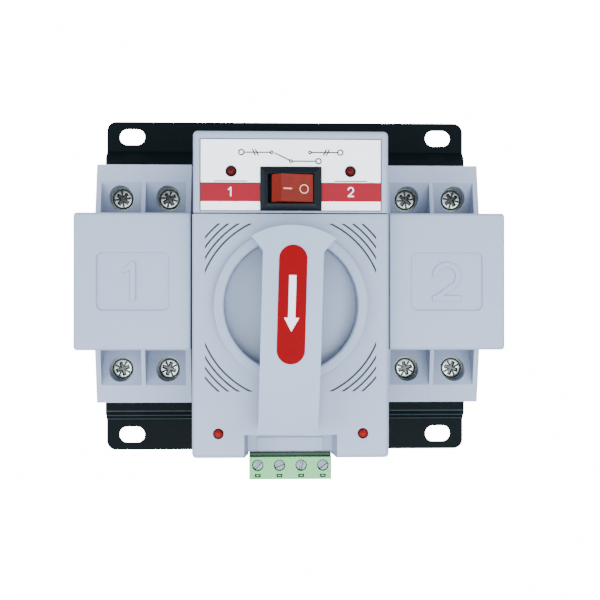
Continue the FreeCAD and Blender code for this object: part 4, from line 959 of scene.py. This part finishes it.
@dataclass
class DriveHousing:
    """The housing's shells, its lamps and everything behind them."""

    edge: float = 0.3
    front_edge: float = 0.14
    control_edge: float = 0.15
    lamp_radius: float = 1.4
    lamp_rim: float = 2.05
    lamp_squash: float = 0.6
    lamp_length: float = 4.5
    lamp_flange: float = 1.0
    lamp_axis: float = 0.02
    lamp_sides: int = 40
    dome_steps: int = 12

    def build(self, builder: Builder) -> None:
        """Make the shells and dress the parts inside."""
        builder.soften("base_plate", Finish.PLATE, self.edge)
        builder.soften("housing_base", Finish.HOUSING, self.edge)
        builder.soften("front_cover", Finish.COVER, self.front_edge)
        builder.soften("control_cover", Finish.HOUSING, self.control_edge)
        inside = {
            Finish.ZINC: "rear_screws gear_plate gear_plate_screws",
            Finish.BOARD: "control_board lamp_board",
            Finish.BLACK: "board_parts limit_cam limit_switches",
            Finish.BRASS: "rocker_tabs plug_clamps",
            Finish.NYLON: "drive_bar output_gear idler_gear shaft_bushing",
            Finish.BRIGHT: "motor_pinion rack_pinion gear_plate_posts idler_pin motor drive_shaft",
        }
        for finish, nodes in inside.items():
            for node in nodes.split():
                builder.dress(node, finish)
        self.lamps(builder, "power_lamps", Finish.LAMP)
        self.lamps(builder, "position_lamps", Finish.LAMP_CLEAR)

    def lamps(self, builder: Builder, node: str, finish: Finish) -> None:
        """Make a pair of lamps: a low dome on a stem with a flat rim behind the panel."""
        place = Place.of(node)
        angle = np.linspace(self.lamp_axis, np.pi / 2, self.dome_steps)
        fall = self.lamp_radius * (1 - np.cos(angle)) * self.lamp_squash
        dome = np.stack([self.lamp_radius * np.sin(angle), place.front - fall], axis=-1)
        foot = place.front - self.lamp_length
        back = foot - self.lamp_flange
        stem = np.array([[self.lamp_radius, foot], [self.lamp_rim, foot],
                         [self.lamp_rim, back], [self.lamp_axis, back]])
        section = np.concatenate([dome, stem])
        for mark, x in enumerate(place.ends(self.lamp_rim), start=1):
            spot = (x, place.middle[1])
            lamp = turned(f"{node[:-1]}_{mark}", spot, section, self.lamp_sides)
            builder.fix(lamp, node, finish, replaces=True)


@dataclass
class ControlPanel:
    """The front label, the rocker switch and the plain print round them."""

    edge: float = 0.3
    button_edge: float = 0.25
    tilt: float = 16.5
    face_rise: float = 7.1
    face_hollow: float = 0.4
    face_half: float = 5.6
    mark_drop: float = 0.35
    mark_sink: float = 0.15
    bar_x: float = -3.4
    bar: Triple = (3.2, 0.45, 0.2)
    circle_x: float = 2.5
    circle_radii: Pair = (1.6, 1.28)
    circle_sides: int = 48
    lamp_inset: float = 1.95
    figure_tall: float = 3.0
    figure_foot: float = 29.1
    figure_half: float = 0.9
    figure_pen: float = 0.45
    pen: float = 0.42
    diagram_drop: float = 4.6
    source_x: float = 17.0
    source_radius: float = 0.9
    contact_x: float = 6.6
    contact_radius: float = 0.45
    ticks: tuple[float, ...] = (13.2, 12.2)
    tick_size: float = 1.0
    outlet_x: float = 9.5
    hinge_drop: float = 3.0
    blade: tuple[Pair, ...] = ((-0.35, 0.3), (-5.6, 2.8))
    border_inset: float = 0.1
    border_pen: float = 0.2
    rule_half: float = 5.5
    rule_drop: float = 1.4
    rule_pen: float = 0.3

    def build(self, builder: Builder) -> None:
        """Make the panel's pieces."""
        builder.dress("front_label", Finish.LABEL)
        builder.soften("rocker_body", Finish.BEZEL, self.edge, 3)
        builder.soften("rocker_button", Finish.ROCKER, self.button_edge, 3)
        self.rocker_marks(builder)
        self.figures(builder)
        self.schematic(builder)
        self.rules(builder)

    def ink(
        self, builder: Builder, name: str, paths: list, pen: float,
        finish: Finish = Finish.GREY_INK,
    ) -> None:
        """Print pen strokes on the label's face."""
        depth = Place.of("front_label").front + INK_RISE
        builder.fix(strokes(name, paths, pen, depth), "front_label", finish)

    def rocker_marks(self, builder: Builder) -> None:
        """Lay the bar and the circle on the button's face, turned with it about its axle."""
        pivot = next(joint for joint in builder.joints if joint["name"] == "rocker_tilt")["pos_m"]
        level = pivot[2] / MM - self.mark_drop
        turn = math.radians(self.tilt)

        def laid(flat: np.ndarray, lift: float) -> np.ndarray:
            """Lift points off the hollow face and turn them about the axle."""
            hollow = self.face_hollow * np.abs(flat[:, 0]) / self.face_half
            rise = self.face_rise + hollow + lift
            x = flat[:, 0] * math.cos(turn) + rise * math.sin(turn) + pivot[0] / MM
            depth = rise * math.cos(turn) - flat[:, 0] * math.sin(turn) - pivot[1] / MM
            return world(x, level + flat[:, 1], depth)

        bar = rounded_rectangle(*self.bar, 4) + [self.bar_x, 0.0]
        rings = np.array([laid(bar, -self.mark_sink), laid(bar, INK_RISE)])
        bar_mark = closed_rings("rocker_bar", rings, PRINT_TURN)
        angle = circle(self.circle_sides)
        edge = np.stack([np.cos(angle), np.sin(angle)], axis=-1)
        outer, inner = (edge * radius + [self.circle_x, 0.0] for radius in self.circle_radii)
        rings = np.array([laid(inner, -self.mark_sink), laid(outer, -self.mark_sink),
                          laid(outer, INK_RISE), laid(inner, INK_RISE)])
        circle_mark = closed_rings("rocker_circle", rings, PRINT_TURN, True)
        for piece in (bar_mark, circle_mark):
            builder.fix(piece, "rocker_button", Finish.ROCKER_INK)

    def figures(self, builder: Builder) -> None:
        """Print a plain 1 and 2 in the band below the two upper lamps."""
        tall, half = self.figure_tall, self.figure_half
        one = np.array([[-0.75, tall * 0.74], [0.0, tall], [0.0, 0.0]])
        bowl = arc((0.0, tall - half), half, 170.0, -42.0, 14)
        two = np.concatenate([bowl, [[-half, 0.0], [half + 0.05, 0.0]]])
        middles = Place.of("power_lamps").ends(self.lamp_inset)
        for name, path, x in zip(("one", "two"), (one, two), middles):
            moved = [path + [x, self.figure_foot]]
            self.ink(builder, "label_figure_" + name, moved, self.figure_pen, Finish.WHITE_INK)

    def schematic(self, builder: Builder) -> None:
        """Print a plain changeover diagram: two supplies, two open contacts, one outlet."""
        label = Place.of("front_label")
        centre, top = Place.of("rocker_body").middle[0], label.z1 - self.diagram_drop
        size, low = self.tick_size, top - self.hinge_drop

        def ring(x: float, z: float, radius: float, steps: int) -> np.ndarray:
            """Draw a whole circle."""
            return arc((x, z), radius, 0.0, 360.0, steps)

        paths = []
        for side in (-1.0, 1.0):
            wire = [[side * (self.source_x - self.source_radius), top],
                    [side * (self.contact_x + self.contact_radius), top]]
            paths += [ring(side * self.source_x, top, self.source_radius, 17),
                      ring(side * self.contact_x, top, self.contact_radius, 13), np.array(wire)]
            paths += [np.array([[side * x, top + size], [side * (x - size), top - size]])
                      for x in self.ticks]
        outlet = [[self.contact_radius, low], [self.outlet_x - self.source_radius, low]]
        paths += [ring(0.0, low, self.contact_radius, 13), np.array(self.blade) + [0.0, low],
                  np.array(outlet), ring(self.outlet_x, low, self.source_radius, 17)]
        moved = [path + [centre, 0.0] for path in paths]
        self.ink(builder, "label_schematic", moved, self.pen)

    def rules(self, builder: Builder) -> None:
        """Print the label's border and a short rule below each upper lamp."""
        label = Place.of("front_label")
        x0, x1 = label.ends(self.border_inset)
        z0, z1 = label.z0 + self.border_inset, label.z1 - self.border_inset
        border = np.array([[x0, z0], [x1, z0], [x1, z1], [x0, z1], [x0, z0]])
        self.ink(builder, "label_border", [border], self.border_pen)
        lamps = Place.of("power_lamps")
        level = lamps.z0 - self.rule_drop
        under = [np.array([[x - self.rule_half, level], [x + self.rule_half, level]])
                 for x in lamps.ends(self.lamp_inset)]
        self.ink(builder, "label_rules", under, self.rule_pen)


@dataclass
class Knob:
    """The turning handle with its arrow label."""

    lean: float = 1.6
    edge: float = 0.55
    label_edge: float = 0.05
    label_sink: float = 0.03
    shaft_half: float = 1.18
    head_half: float = 2.5
    arrow_top: float = 9.9
    neck: float = -4.1
    tip: float = -8.7

    def build(self, builder: Builder) -> None:
        """Make the handle, its label and the arrow on it."""
        builder.soften("handle", Finish.HANDLE, self.edge, 4)
        builder.soften("handle_label", Finish.STICKER, self.label_edge, 1, sink=self.label_sink)
        builder.dress("handle_screw", Finish.ZINC)
        shaft, head = self.shaft_half, self.head_half
        arrow = np.array([[shaft, self.arrow_top], [-shaft, self.arrow_top], [-shaft, self.neck],
                          [-head, self.neck], [0.0, self.tip], [head, self.neck],
                          [shaft, self.neck]])
        cosine, sine = math.cos(math.radians(self.lean)), math.sin(math.radians(self.lean))
        leant = arrow @ np.array([[cosine, -sine], [sine, cosine]])
        outline = leant + np.array(Place.of("drive_shaft").middle)
        front = Place.of("handle_label").front
        mark = flat_print("handle_arrow", outline, front, self.label_sink)
        builder.fix(mark, "handle_label", Finish.WHITE_INK)


@dataclass
class PlugTerminal:
    """The green header and plug with their slotted screws."""

    header_edge: float = 0.15
    plug_edge: float = 0.18
    head: ScrewHead = ScrewHead(1.95, (0.0,), 0.32, 0.7)
    head_rise: float = 2.4
    turns: tuple[float, ...] = (52.0, 22.0, 78.0, 38.0)
    mark_up: float = 1.3
    mark: Triple = (2.0, 1.1, 0.15)
    mark_sink: float = 0.22
    core: Triple = (1.1, 0.35, 0.1)
    core_sink: float = 0.17

    def build(self, builder: Builder) -> None:
        """Make the plug's pieces."""
        builder.soften("terminal_header", Finish.HEADER, self.header_edge)
        builder.soften("terminal_plug", Finish.PLUG, self.plug_edge)
        screws, plug = Place.of("plug_screws"), Place.of("terminal_plug")
        spots = np.linspace(*screws.ends(self.head.radius), len(self.turns))
        for way, (x, turn) in enumerate(zip(spots, self.turns), start=1):
            spot = (x, screws.middle[1])
            head = self.head.shape(
                f"plug_screw_{way}", spot, screws.front - self.head_rise, screws.front, turn)
            builder.fix(head, "plug_screws", Finish.PLUG_SCREW, replaces=True)
            middle = [x, plug.z0 + self.mark_up]
            outline = rounded_rectangle(*self.mark) + middle
            field = flat_print(f"plug_mark_{way}", outline, plug.front - self.mark_sink)
            builder.fix(field, "terminal_plug", Finish.MARK)
            outline = rounded_rectangle(*self.core) + middle
            core = flat_print(f"plug_core_{way}", outline, plug.front - self.core_sink)
            builder.fix(core, "terminal_plug", Finish.PLUG)


@dataclass(frozen=True)
class SoftBox:
    """A square soft light: where it stands and its side in metres, and its power in watts."""

    name: str
    spot: Triple
    side: float
    power: float

    def build(self, tint: Triple) -> None:
        """Add the light, aimed at the object's middle."""
        data = bpy.data.lights.new(self.name, "AREA")
        data.size = self.side
        data.energy = self.power
        data.color = tint
        lamp = put(self.name, data)
        lamp.location = self.spot
        lamp.rotation_euler = (-lamp.location).to_track_quat("-Z", "Y").to_euler()


@dataclass
class Studio:
    """Pale floor, soft lights and the camera."""

    lens_mm: float = 61.7
    clip_start_m: float = 0.01
    eye_m: Triple = (-0.00848, -0.44909, -0.00781)
    pitch: float = 0.21
    yaw: float = -1.885
    floor_level: float = -600.0
    floor_radius: float = 1400.0
    floor_thick: float = 10.0
    floor_axis: float = 0.02
    tint: Triple = (0.86, 0.93, 1.0)
    felt: float = 1.15
    seen: float = 16.0
    lights: tuple[SoftBox, ...] = (
        SoftBox("front_low", (0.15, -1.3, -0.55), 1.2, 48.0),
        SoftBox("left", (-1.0, -0.95, -0.1), 0.9, 17.0),
        SoftBox("right_high", (0.9, -0.95, 0.5), 0.9, 11.0),
    )

    def build(self) -> None:
        """Set up the whole studio."""
        self.camera()
        self.floor()
        self.sky()
        for light in self.lights:
            light.build(self.tint)

    def camera(self) -> None:
        """Place the camera and make it the scene's own."""
        data = bpy.data.cameras.new("Camera")
        data.lens = self.lens_mm
        data.clip_start = self.clip_start_m
        camera = put("Camera", data)
        camera.location = self.eye_m
        camera.rotation_euler = (math.radians(90 + self.pitch), 0.0, math.radians(self.yaw))
        bpy.context.scene.camera = camera

    def floor(self) -> None:
        """Lay a pale disc, closed by its own rim, well below the object."""
        angle = circle(96)
        rim, axis = self.floor_radius, self.floor_axis
        reach = np.array([axis, rim, rim, axis])[:, None]
        drop = np.array([0.0, 0.0, self.floor_thick, self.floor_thick])[:, None]
        rings = world(reach * np.cos(angle), self.floor_level - drop, reach * np.sin(angle))
        floor = closed_rings("floor", rings)
        floor.data.materials.append(FloorPaint().material())

    def sky(self) -> None:
        """Show white behind the object, with softer light from all round."""
        sky = bpy.data.worlds.new("Studio")
        shader = Shader(sky)
        camera_ray = shader.add("ShaderNodeLightPath")["Is Camera Ray"]
        felt, seen = (
            shader.add("ShaderNodeBackground", inputs={"Color": colour, "Strength": strength})
            for colour, strength in ((rgba(self.tint), self.felt), (rgba((1.0,) * 3), self.seen))
        )
        sockets = {0: camera_ray, 1: felt["Background"], 2: seen["Background"]}
        both = shader.add("ShaderNodeMixShader", inputs=sockets)["Shader"]
        shader.add("ShaderNodeOutputWorld", inputs={"Surface": both})
        bpy.context.scene.world = sky


def main(frame: dict) -> None:
    """Build every sub-assembly in order.
    """
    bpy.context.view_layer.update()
    builder = Builder(frame)
    Studio().build()
    for part in (SwitchUnit("left"), SwitchUnit("right"), DriveHousing(), ControlPanel(), Knob(),
                 PlugTerminal()):
        part.build(builder)


if __name__ == "__main__":
    logging.basicConfig(level=logging.INFO)
    main(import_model())
